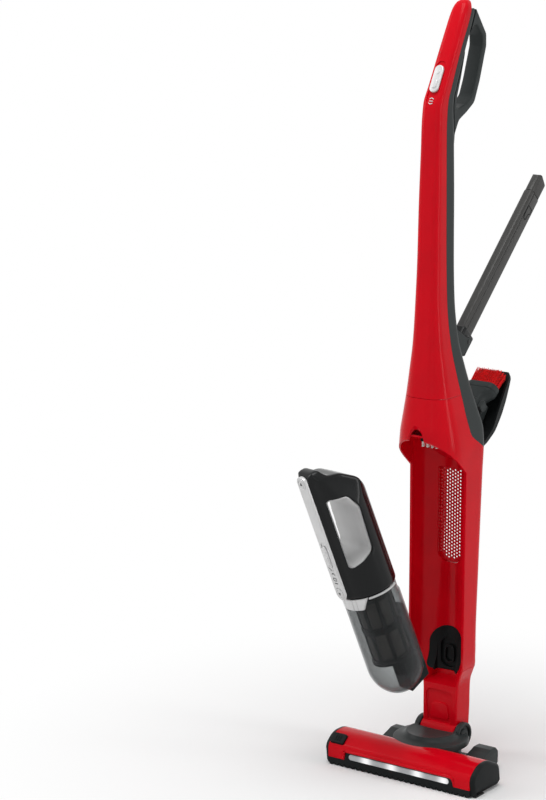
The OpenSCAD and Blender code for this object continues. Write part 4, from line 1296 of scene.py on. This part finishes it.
@dataclass
class RearFlap(Assembly):
    """The flap's hollow panel, and the dusting brush in its cradle."""

    hinge: Point2 = (88.0, 478.0)
    open_angle: float = 55.0
    brush_y: float = 55.0
    tuft_foot: float = 573.4
    tuft_top: float = 601.4
    tuft_grid: tuple[int, int] = (15, 5)
    tuft_pitch: Point2 = (3.55, 4.2)
    strands: int = 8
    panel_radii: Sequence[float] = (9, 9, 40, 11, 11, 40)
    inner: Sequence[Point2] = ((84.6, 488), (84.6, 514), (76.2, 547), (68.2, 575), (61, 601), (58, 612))
    outer: Sequence[Point2] = ((88, 484), (91, 500), (91.6, 520), (88.5, 545), (81.5, 570), (71.5, 593),
        (60.8, 613.5))

    def opened(self, form: Form) -> Form:
        """Swings a form from the shut flap to where the flap stands."""
        to = Matrix.Translation((0, *self.hinge))
        return form.moved(to @ Matrix.Rotation(math.radians(-self.open_angle), 4, "X") @ to.inverted())

    def panel(self) -> Form:
        """The crowned panel, hollow on the inside, with its knuckle.

        Returns:
            The form.
        """
        low, high = smooth_line(self.inner, 30), smooth_line(self.outer, 30)
        front = soft([(-34, 480), (34, 480), (35, 520), (28, 613.5), (-28, 613.5), (-35, 520)],
            self.panel_radii, 12)
        room = soft([(-31, 483), (31, 483), (32, 520), (25, 610), (-25, 610), (-32, 520)],
            [7, 7, 38, 9, 9, 38], 12)
        panel = side([*low, *reversed(high)]).keep(Form.plate(front, 30, 120, Plane.XZ))
        hollow = side([*[(y - 9, z) for y, z in low], *[(y - 2.6, z - 1.2) for y, z in reversed(high)]]).keep(
            Form.plate(room, 30, 120, Plane.XZ))
        knuckle = lathe_x([(0, -11), (3.4, -11), (4, -10.4), (4, 10.4), (3.4, 11), (0, 11)], *self.hinge, 40)
        arm = Form.plate([(85, 478), (91.8, 478), (90, 492), (84.6, 492)], -11, 11, Plane.YZ)
        return panel.cut(hollow).plus(knuckle, arm)

    def cradle(self) -> Form:
        """The ring, stem and hook that carry the brush.

        Returns:
            The form.
        """
        y = self.brush_y
        ring = Form.plate(oval(20.5, 15, y), 523, 539, Plane.XY, 1.2, [oval(17.1, 11.9, y)])
        gap = Form.plate(soft([(-60, 20), (-9, 20), (-9, 48), (-60, 48)], 3), 500, 560, Plane.XY)
        stem_line = soft([(64, 520), (84.2, 516), (84, 520), (75.2, 551), (70, 551), (64, 541)],
            [3, 0, 0, 0, 3, 4])
        stem = Form.plate(stem_line, -14, 14, Plane.YZ, 1.2).cut(
            Form.plate(oval(17.1, 11.9, y), 500, 570, Plane.XY))
        hook_line = soft([(44, 523), (56, 523), (60, 531), (60, 539), (44, 539)], [3, 4, 3, 2, 3])
        hook = Form.plate(hook_line, 17.6, 24, Plane.YZ, 1.6)
        return ring.cut(gap).plus(stem, hook)

    def brush_head(self) -> Form:
        """The brush's flared nozzle.

        Returns:
            The form.
        """
        rows = ((562.6, 27, 13), (560.6, 26.6, 12.7), (557, 24, 12.4), (552, 20, 12), (547, 17.6, 11.6),
            (540, 16.8, 11.3), (527, 16.2, 11))
        rings = [[(x, y, z) for x, y in oval(w, d, self.brush_y)] for z, w, d in rows]
        return Form.loft(rings).cut(Form.plate(oval(13.6, 8.4, self.brush_y), 520, 560, Plane.XY))

    def tufts(self) -> Form:
        """The brush's tufts, each a small fan of strands.

        Returns:
            The form.
        """
        strands = []
        columns, rows = self.tuft_grid
        across, along = self.tuft_pitch
        for j in range(rows):
            for i in range(columns):
                x, y = (i - columns // 2) * across + (0.9 if j % 2 else -0.9), 45.2 + j * along
                if abs(x) > 25 - 0.35 * abs(y - 54) ** 1.1:
                    continue
                for k in range(self.strands):
                    a, lean = k * 2.4 + i + j, 0.5 + 0.1 * k
                    fx, fy = math.cos(a), math.sin(a)
                    tip = (x + fx * 1.2 * lean + x * 0.05, y + fy * 1.2 * lean - 0.6 + (y - 54) * 0.08,
                        self.tuft_top - 1.5 * ((i * 7 + j * 5 + k * 3) % 5) / 4)
                    strands.append(Form.tube([(x + fx * 0.5, y + fy * 0.5, self.tuft_foot), tip],
                            [0.42, 0.28], 4))
        return strands[0].plus(*strands[1:])

    def pieces(self) -> list[Piece]:
        """The flap's and the brush's pieces, swung open.

        Returns:
            The pieces.
        """
        base = Form.plate(oval(27, 13, self.brush_y), 563.2, 574, Plane.XY, 1.4)
        return [
            Piece("flap_body", self.opened(self.panel()), Slot.BLACK, Body.FLAP, ("flap_panel",)),
            Piece("brush_cradle", self.opened(self.cradle()), Slot.GREY, Body.FLAP, ("brush_holder",)),
            Piece("brush_head", self.opened(self.brush_head()), Slot.GREY, Body.FLAP),
            Piece("brush_base", self.opened(base), Slot.GREY, Body.FLAP, ("dusting_brush",)),
            Piece("brush_tufts", self.opened(self.tufts()), Slot.TUFT_RED, Body.FLAP, ("dusting_bristles",),
                60),
        ]


@dataclass
class CreviceTool(Assembly):
    """The crevice tool in its clip, with its seam, flutes and catch."""

    pivot: Point2 = (76.0, 642.0)
    lean: float = 46.0
    half_width: float = 8.0
    half_depth: float = 14.0
    foot: float = -11.6
    seam: float = 277.2
    top: float = 313.4

    def leaned(self, form: Form) -> Form:
        """Moves a form from the tool's own axis to the clip."""
        return form.moved(Matrix.Translation((0, *self.pivot))
            @ Matrix.Rotation(math.radians(-self.lean), 4, "X"))

    def outline(self, grow: float, radius: float) -> list[Point2]:
        """The tool's rounded section, grown by an amount."""
        w, d = self.half_width + grow, self.half_depth + grow
        return soft(box2(-w, w, -d, d), radius, 8)

    def tube(self) -> Form:
        """The fluted tube with its slanted mouth.

        Returns:
            The form.
        """
        w, d = self.half_width, self.half_depth
        half = [(w, -6.8), (w - 1.3, -6.2), (w - 1.3, -4.6), (w, -4)]
        line = [(-w, -d), (w, -d), *half, (w, d), (-w, d), *[(-x, y) for x, y in reversed(half)]]
        tube = Form.plate(soft(line, [4.5, 4.5, *[0.3] * 4, 4.5, 4.5, *[0.3] * 4], 6), self.foot, self.seam,
            Plane.XY, 0.3)
        tip = Form.plate(self.outline(0, 6.5), self.seam + 1.2, self.top, Plane.XY, 0.6)
        bore = Form.plate(self.outline(-2, 3), 255, 315, Plane.XY)
        mouth = side(soft([(-14.4, 260), (14.4, 260), (14.4, 304.4), (-14.4, 312.2)], [0, 0, 2, 6]), 40)
        neck = Form.plate(self.outline(-0.8, 4), self.seam - 1.2, self.seam + 2.8, Plane.XY)
        return tube.plus(tip.cut(bore).keep(mouth), neck)

    def catch(self) -> Form:
        """The raised outline of the catch, on both sides.

        Returns:
            The form.
        """
        outer = soft([(-4, 232), (4, 232), (4, 244), (8, 247), (8, 256), (-6, 256), (-6, 246)],
            [3.9, 3.9, 2, 2, 2, 2, 2])
        inside = [(-2.9, 233.4), (2.9, 233.4), (2.9, 244.6), (6.8, 247.8), (6.8, 254.8), (-4.8, 254.8),
            (-4.8, 246.6)]
        inner = soft(inside, [2.8, 2.8, 1.4, 1.4, 1.4, 1.4, 1.4])
        form = Form.plate(outer, 7.8, 8.35, Plane.YZ, 0.15, [inner])
        return form.plus(form.mirrored())

    def clip(self) -> Form:
        """The clip's sleeve with a round boss on each side.

        Returns:
            The form.
        """
        sleeve = Form.plate(soft(box2(-12.4, 12.4, -17, 17), 5), -16, 16, Plane.XY, 1.6)
        room = Form.plate(self.outline(0.35, 4.6), -12, 30, Plane.XY)
        line = [(0, 12), (9, 12), (9, 14.4), (8, 15.8), (6.6, 16), (6, 15), (5.2, 14.6), (4.4, 15.2), (4, 17),
            (2.6, 17.4), (0, 17.4)]
        boss = lathe_x(line, 0, 0, 48)
        return sleeve.cut(room).plus(boss, boss.mirrored())

    def pieces(self) -> list[Piece]:
        """The tool, its catch and the clip.

        Returns:
            The pieces.
        """
        return [
            Piece("tool_tube", self.leaned(self.tube()), Slot.TOOL, Body.TOOL, ("crevice_tool",)),
            Piece("tool_catch", self.leaned(self.catch()), Slot.BLACK, Body.TOOL),
            Piece("clip_body", self.leaned(self.clip()), Slot.UNIT_BLACK, Body.CLIP, ("tool_clip",)),
        ]


# ---------------------------------------------------------------- hand unit


@dataclass
class HandUnit(Assembly):
    """The hand unit's housing, strip, buttons, band, clear container and heel."""

    turn: float = 22.0
    dip: float = 45.0
    angle: float = 28.2
    axis_at: tuple[float, float, float] = (82.0, -80.0, -148.0)
    foot_at: tuple[float, float, float] = (0.0, 18.0, 120.0)
    r: float = 43.0
    cup_r: float = 42.5
    front: float = 46.0
    strip_size: tuple[float, float] = (23.0, 202.6)
    strip_z: float = 280.0
    slider_z: float = 251.0
    press_z: float = 190.0
    disc_z: float = 370.6
    band_low: float = 159.6
    band_high: float = 177.4
    press_r: float = 8.8
    rib_half: float = 9.0
    gate_r: float = 42.8
    heel_r: float = 42.2
    side_line: Sequence[Point2] = (
        (-46, 178), (43, 178), (43, 294), (38, 330), (24, 352), (2, 368), (-18, 373), (-25, 385), (-38, 385),
        (-46, 372))
    side_radii: Sequence[float] = (0, 0, 20, 14, 18, 24, 6, 5, 8, 8)
    front_line: Sequence[Point2] = (
        (-43, 178), (43, 178), (43, 318), (29, 370), (15, 386), (-15, 386), (-29, 370), (-43, 318))
    front_radii: Sequence[float] = (0, 0, 40, 14, 4, 4, 14, 40)
    opening: Sequence[Point2] = ((-34, 226), (5, 242), (8, 312), (-6, 336), (-34, 340))
    opening_radii: Sequence[float] = (4, 13, 14, 10, 4)

    def swing(self) -> Matrix:
        """From the hand unit's own frame to where it hangs out of the dock.

        Returns:
            The move.
        """
        turn, dip = math.radians(self.turn), math.radians(self.dip)
        about = Vector((math.cos(turn) * math.cos(dip), -math.sin(turn) * math.cos(dip), -math.sin(dip)))
        at = Vector(self.axis_at)
        turned = Matrix.Rotation(math.radians(self.angle), 4, about)
        return Matrix.Translation(at) @ turned @ Matrix.Translation(Vector(self.foot_at) - at)

    def on_front(self, form: Form, up: float = 0.0) -> Form:
        """Stands a form from the XY plane on the unit's front, facing forwards, at a height."""
        return form.moved(Matrix.Translation((0, -self.front, up)) @ Matrix.Rotation(math.pi / 2, 4, "X"))

    def drum(self, r: float, lo: float, hi: float) -> Form:
        """A round bar about the unit's axis."""
        return Form.revolve([(0, lo), (r, lo), (r, hi), (0, hi)], n=128)

    def housing(self) -> Form:
        """The black housing: a drum with a spine, tapered to a rounded top, with the grip's opening.

        Returns:
            The form.
        """
        view = soft(self.side_line, self.side_radii)
        taper = soft(self.front_line, self.front_radii, 10)
        spine = Form.plate(soft(box2(-15, 15, -self.front, 0), [6, 6, 0, 0]), 178, 420, Plane.XY)
        whole = self.drum(self.r, 178, 420).fused(spine).keep(
            Form.plate(view, -60, 60, Plane.YZ), Form.plate(taper, -60, 60, Plane.XZ))
        grip = Form.plate(soft(self.opening, self.opening_radii), -90, 90, Plane.YZ)
        return whole.melted(1.5, 26).cut(grip).melted(1.05, 5).cut(self.drum(44, 150, 178.6))

    def liner(self) -> Form:
        """The pale lining of the grip's opening.

        Returns:
            The form.
        """
        outer = soft(self.opening, self.opening_radii, 12)
        inner = soft([(-32.4, 227.8), (3.5, 243), (6.5, 311.5), (-6.8, 334.4), (-32.4, 338.4)],
            [3.4, 12, 13, 9, 3.4], 12)
        return Form.plate(outer, -38.4, 38.4, Plane.YZ, 0, [inner]).keep(self.drum(41.0, 200, 380))

    def disc(self, z: float, grow: float = 0.0) -> Form:
        """A round button with a raised rim and a raised middle.

        Args:
            z: the height of its middle. grow: how much wider it is.
        Returns:
            The form.
        """
        rim = Form.plate(arc((0, 0), 9.0 + grow, 0, 352, 44), 2.2, 3.4, Plane.XY, 0.5,
            [arc((0, 0), 6.6, 0, 350, 35)])
        middle = Form.plate(arc((0, 0), 6.0, 0, 350, 35), 2.2, 3.3, Plane.XY, 0.4)
        floor = Form.plate(arc((0, 0), 8.0, 0, 350, 35), 1.6, 2.5, Plane.XY)
        return self.on_front(rim.plus(middle, floor), z)

    def strip(self) -> Form:
        """The silver strip with its slider's well, the hole of the press and the upper disc.

        Returns:
            The form.
        """
        plate = self.on_front(Form.plate(capsule(*self.strip_size), -3, 2.6, Plane.XY, 0.9), self.strip_z)
        well = self.on_front(Form.plate(capsule(14, 47), 1.4, 6, Plane.XY), self.slider_z)
        hole = self.on_front(Form.plate(arc((0, 0), 9.4, 0, 352, 44), -6, 6, Plane.XY), self.press_z)
        return plate.cut(well, hole).plus(self.disc(self.disc_z))

    def press(self) -> Form:
        """The round container button."""
        stem = self.on_front(Form.plate(arc((0, 0), self.press_r, 0, 352, 44), -2, 2.4, Plane.XY, 0.3),
            self.press_z)
        return stem.plus(self.disc(self.press_z, -0.2))

    def marks(self) -> Form:
        """The small raised marks on the strip: two arrowheads, a charge window, a bar and a chevron.

        Returns:
            The form.
        """
        arrow = [(-2.7, -1.8), (2.7, -1.8), (0, 2.6)]
        turned = [(-x, -y) for x, y in arrow]
        lines = [
            (arrow, self.disc_z + 0.2, 3.2, 3.6),
            (turned, self.press_z - 0.2, 3.2, 3.6),
            (soft([(-4, -0.6), (0, 2), (4, -0.6), (4, 0.8), (0, 3.4), (-4, 0.8)], 0.2), 221.6, 2.5, 2.85),
            (soft(box2(-4.2, 4.2, -0.6, 0.6), 0.5), 207.2, 2.5, 2.85)]
        forms = [self.on_front(Form.plate(line, lo, hi, Plane.XY), z) for line, z, lo, hi in lines]
        window = Form.plate(soft(box2(-4, 4, -2.6, 2.6), 0.9), 2.5, 2.85, Plane.XY, 0,
            [soft(box2(-3.2, 3.2, -1.8, 1.8), 0.5)])
        return forms[0].plus(*forms[1:], self.on_front(window, 213.8))

    def slider(self) -> Form:
        """The power slider with its thumb rest.

        Returns:
            The form.
        """
        base = Form.plate(capsule(11.4, 35), 1.5, 4.0, Plane.XY, 0.9)
        rest = Form.plate(soft(box2(-4, 4, -14.4, 1), 3.9), 3.4, 4.9, Plane.XY, 0.7)
        dot = Form.plate(arc((0, 9.6), 3.3, 0, 345, 23), 3.4, 4.6, Plane.XY, 0.5)
        return self.on_front(base.plus(rest, dot), self.slider_z)

    def band(self) -> Form:
        """The silver latch band, in four fields, with a slanted right end.

        Returns:
            The form.
        """
        lo, hi = self.band_low, self.band_high
        section = [(40.9, lo), (42.6, lo), (43.1, lo + 0.5), (43.1, hi - 0.5), (42.6, hi), (40.9, hi)]
        ring = Form.revolve(section, n=160)
        fields = Form.plate([(-36, lo - 1), (25, lo - 1), (33, hi + 1), (-36, hi + 1)], -60, -20, Plane.XZ)
        groove = block((-0.45, -50, lo - 1), (0.45, -42.5, hi + 1))
        grooves = [groove.moved(Matrix.Rotation(math.radians(a), 4, "Z")) for a in (-31, -8, 16, 26)]
        return ring.keep(fields).cut(*grooves)

    def cup(self) -> Form:
        """The clear container: a drum that ends in a deep dome.

        Returns:
            The form.
        """
        r, q = self.cup_r, self.cup_r - 2
        angles = [math.radians(a) for a in np.linspace(0, 90, 30)]
        shell = [(r * math.sin(a), 50 - 50 * math.cos(a)) for a in angles]
        shell += [(r, 70), (r, 100), (r, 140), (r, 157.6), (40.6, 159.4), (40.6, 177.6)]
        hollow = [(38.6, 177.6), (38.6, 159), (q, 155), (q, 140), (q, 100), (q, 70)]
        hollow += [(q * math.sin(a), 50 - 48 * math.cos(a)) for a in reversed(angles)]
        w = self.rib_half + 0.1
        rib_room = block((-w, 36, 40), (w, 60, 126.1))
        return Form.revolve(shell + hollow, n=128).cut(self.heel_shape(0.1), rib_room)

    def ring(self) -> Form:
        """The pale ring that shows between housing and container behind the band.

        Returns:
            The form.
        """
        lo, hi = self.band_high - 3.0, self.band_high - 0.1
        ring = Form.revolve([(41, lo), (42.7, lo), (42.7, hi), (41, hi)], n=160)
        return ring.keep(block((34.5, -26, 165), (60, 40, 190)))

    def heel_shape(self, grow: float = 0.0) -> Form:
        """The side view of the heel as a block, grown across."""
        line = soft([(3, -0.8), (41.5, 10.5), (43, 14), (43, 40), (36, 52), (3, 52)], [0, 3, 3, 6, 6, 3])
        return Form.plate(line, -18 - grow, 18 + grow, Plane.YZ, 0 if grow else 1.5)

    def heel(self) -> Form:
        """The black heel with its duct, the rib behind the container and the gate.

        Returns:
            The form.
        """
        duct_line = soft([(8, -9), (34, -9), (34, 34), (26, 44), (8, 44)], [0, 0, 8, 6, 4])
        duct = Form.plate(duct_line, -13, 13, Plane.YZ)
        w = self.rib_half
        rib = Form.revolve([(40.2, 40), (42.7, 40), (42.7, 126), (40.2, 126)], n=96).keep(
            block((-w, 36, 30), (w, 60, 140)))
        gate = Form.plate(soft(box2(-15.6, 15.6, 16, 33), 2), 38.0, 45.0, Plane.XZ).keep(
            self.drum(self.gate_r, 10, 40))
        body = self.heel_shape().keep(self.drum(self.heel_r, -4, 90))
        return body.cut(duct, block((-13, 0, 20), (13, 30, 46))).plus(rib, gate)

    def pieces(self) -> list[Piece]:
        """The unit's pieces, swung out of the dock.

        Returns:
            The pieces.
        """
        made = [
            Piece("unit_body", self.housing(), Slot.UNIT_BLACK, Body.UNIT, ("unit_housing",), 50),
            Piece("unit_liner", self.liner(), Slot.GRIP, Body.UNIT, ("grip_liner",)),
            Piece("unit_strip", self.strip(), Slot.SILVER, Body.UNIT, ("grip_strip",)),
            Piece("unit_marks", self.marks(), Slot.BLACK, Body.UNIT),
            Piece("unit_slider", self.slider(), Slot.SILVER, Body.SLIDER, ("power_slider",)),
            Piece("unit_press", self.press(), Slot.SILVER, Body.BUTTON, ("container_button",)),
            Piece("unit_band", self.band(), Slot.SILVER, Body.UNIT, ("latch_band",)),
            Piece("unit_cup", self.cup(), Slot.CLEAR, Body.UNIT, ("dust_container",)),
            Piece("unit_ring", self.ring(), Slot.GRIP, Body.UNIT),
            Piece("unit_heel", self.heel(), Slot.BLACK, Body.UNIT, ("inlet_heel",)),
        ]
        at = self.swing()
        for piece in made:
            piece.form = piece.form.moved(at)
        return made


# ---------------------------------------------------------------- stage


@dataclass(frozen=True)
class Softbox:
    """An area light: place, aim, size and power."""

    name: str
    place: tuple[float, float, float]
    aim: tuple[float, float, float]
    size: tuple[float, float]
    watts: float

    def hang(self) -> None:
        """Makes the light."""
        light = bpy.data.lights.new(self.name, "AREA")
        light.shape, light.size, light.size_y, light.energy = "RECTANGLE", *self.size, self.watts
        ob = bpy.data.objects.new(self.name, light)
        ob.location = self.place
        ob.rotation_euler = (Vector(self.aim) - Vector(self.place)).to_track_quat("-Z", "Y").to_euler()
        bpy.context.scene.collection.objects.link(ob)


@dataclass
class Stage:
    """The floor, the lights, the pale surroundings and the camera."""

    floor_half: float = 40.0
    fade_from: float = 0.12
    fade_to: float = 0.75
    sky: float = 0.40
    camera_at: tuple[float, float, float] = (2.089, -3.233, 1.417)
    camera_aim: tuple[float, float, float] = (-0.5778, 0.7870, -0.2163)
    lens: float = 121.2
    boxes: Sequence[Softbox] = (
        Softbox("key_left", (-2.6, -1.5, 1.9), (0, 0.1, 0.55), (0.8, 2.4), 26),
        Softbox("strip_right", (2.4, 0.5, 1.2), (0, 0.1, 0.6), (0.5, 2.2), 14),
        Softbox("strip_front", (0.9, -3.0, 1.6), (0, 0.1, 0.6), (0.3, 2.0), 3),
        Softbox("top", (0.1, -0.6, 3.1), (0, 0, 0.3), (1.6, 1.6), 38),
    )

    def seen(self, g: Graph) -> Sock:
        """One for rays that show a surface to the eye, a mirror or a pane, else nought."""
        rays = [g.node("ShaderNodeLightPath", {}, out=name)
            for name in ("Is Camera Ray", "Is Glossy Ray", "Is Transmission Ray")]
        return (rays[0] + rays[1] + rays[2]).clamped()

    def surroundings(self) -> bpy.types.World:
        """A soft even world that looks white wherever it is seen.

        Returns:
            The world.
        """
        world = bpy.data.worlds.new("surroundings")
        g = Graph("surroundings", world)
        soft_light = g.node("ShaderNodeBackground", {"Color": (1, 1, 1, 1), "Strength": self.sky})
        white = g.node("ShaderNodeBackground", {"Color": (1, 1, 1, 1), "Strength": 1.0})
        both = g.node("ShaderNodeMixShader", {0: self.seen(g), 1: soft_light, 2: white})
        g.node("ShaderNodeOutputWorld", {"Surface": both})
        return world

    def floor_paint(self) -> bpy.types.Material:
        """Plain pale paint under the object, which turns to pure white further out.

        Returns:
            The material.
        """
        g = Graph("floor_paint")
        tone = g.blend(g.spread(g.noise(900.0), 0.0, 1.0), (0.95, 0.95, 0.95), (0.97, 0.97, 0.97))
        face = g.node("ShaderNodeBsdfPrincipled", {"Base Color": tone, "Roughness": 0.9,
                "Specular IOR Level": 0.0})
        where = g.node("ShaderNodeTexCoord", {}, out="Object")
        away = g.node("ShaderNodeVectorMath", {0: where}, out="Value", operation="LENGTH")
        near = g.node("ShaderNodeMapRange", {"Value": away, "From Min": self.fade_to,
                "From Max": self.fade_from},
            interpolation_type="SMOOTHSTEP")
        white = g.node("ShaderNodeEmission", {"Color": (1, 1, 1, 1), "Strength": 1.0})
        both = g.node("ShaderNodeMixShader", {0: (1 - near) * self.seen(g), 1: face, 2: white})
        g.node("ShaderNodeOutputMaterial", {"Surface": both})
        return g.material

    def build(self) -> None:
        """Lays the floor, hangs the lights and sets the camera."""
        scene = bpy.context.scene
        h = self.floor_half
        mesh = bpy.data.meshes.new("floor")
        mesh.from_pydata([(-h, -h, 0), (h, -h, 0), (h, h, 0), (-h, h, 0)], [], [(0, 1, 2, 3)])
        mesh.materials.append(self.floor_paint())
        floor = bpy.data.objects.new("floor", mesh)
        scene.collection.objects.link(floor)
        for box in self.boxes:
            box.hang()
        scene.world = self.surroundings()
        camera = bpy.data.cameras.new("camera")
        camera.lens, camera.sensor_width, camera.sensor_fit = self.lens, 36.0, "AUTO"
        camera.clip_end = 200.0
        eye = bpy.data.objects.new("camera", camera)
        eye.location = self.camera_at
        eye.rotation_euler = Vector(self.camera_aim).to_track_quat("-Z", "Y").to_euler()
        scene.collection.objects.link(eye)
        scene.camera = eye
        scene.view_settings.view_transform = "Standard"


def main() -> None:
    """Builds every sub-assembly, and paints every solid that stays."""
    logging.basicConfig(level=logging.INFO, format="%(message)s")
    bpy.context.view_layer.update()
    paints = {slot: shade(slot) for slot in Slot}
    by_node = {row["node"]: Slot(row["material_slot"]) for row in frame["record"]["subparts"]}
    for name, ob in frame["nodes"].items():
        ob.data.materials.clear()
        ob.data.materials.append(paints[by_node[name]])
    parts = (Nozzle(), BrushRoll(), Turret(), Dock(), Head(), Rear(), RearFlap(), CreviceTool(), HandUnit())
    for part in parts:
        part.build(paints)
    Stage().build()


if __name__ == "__main__":
    main()
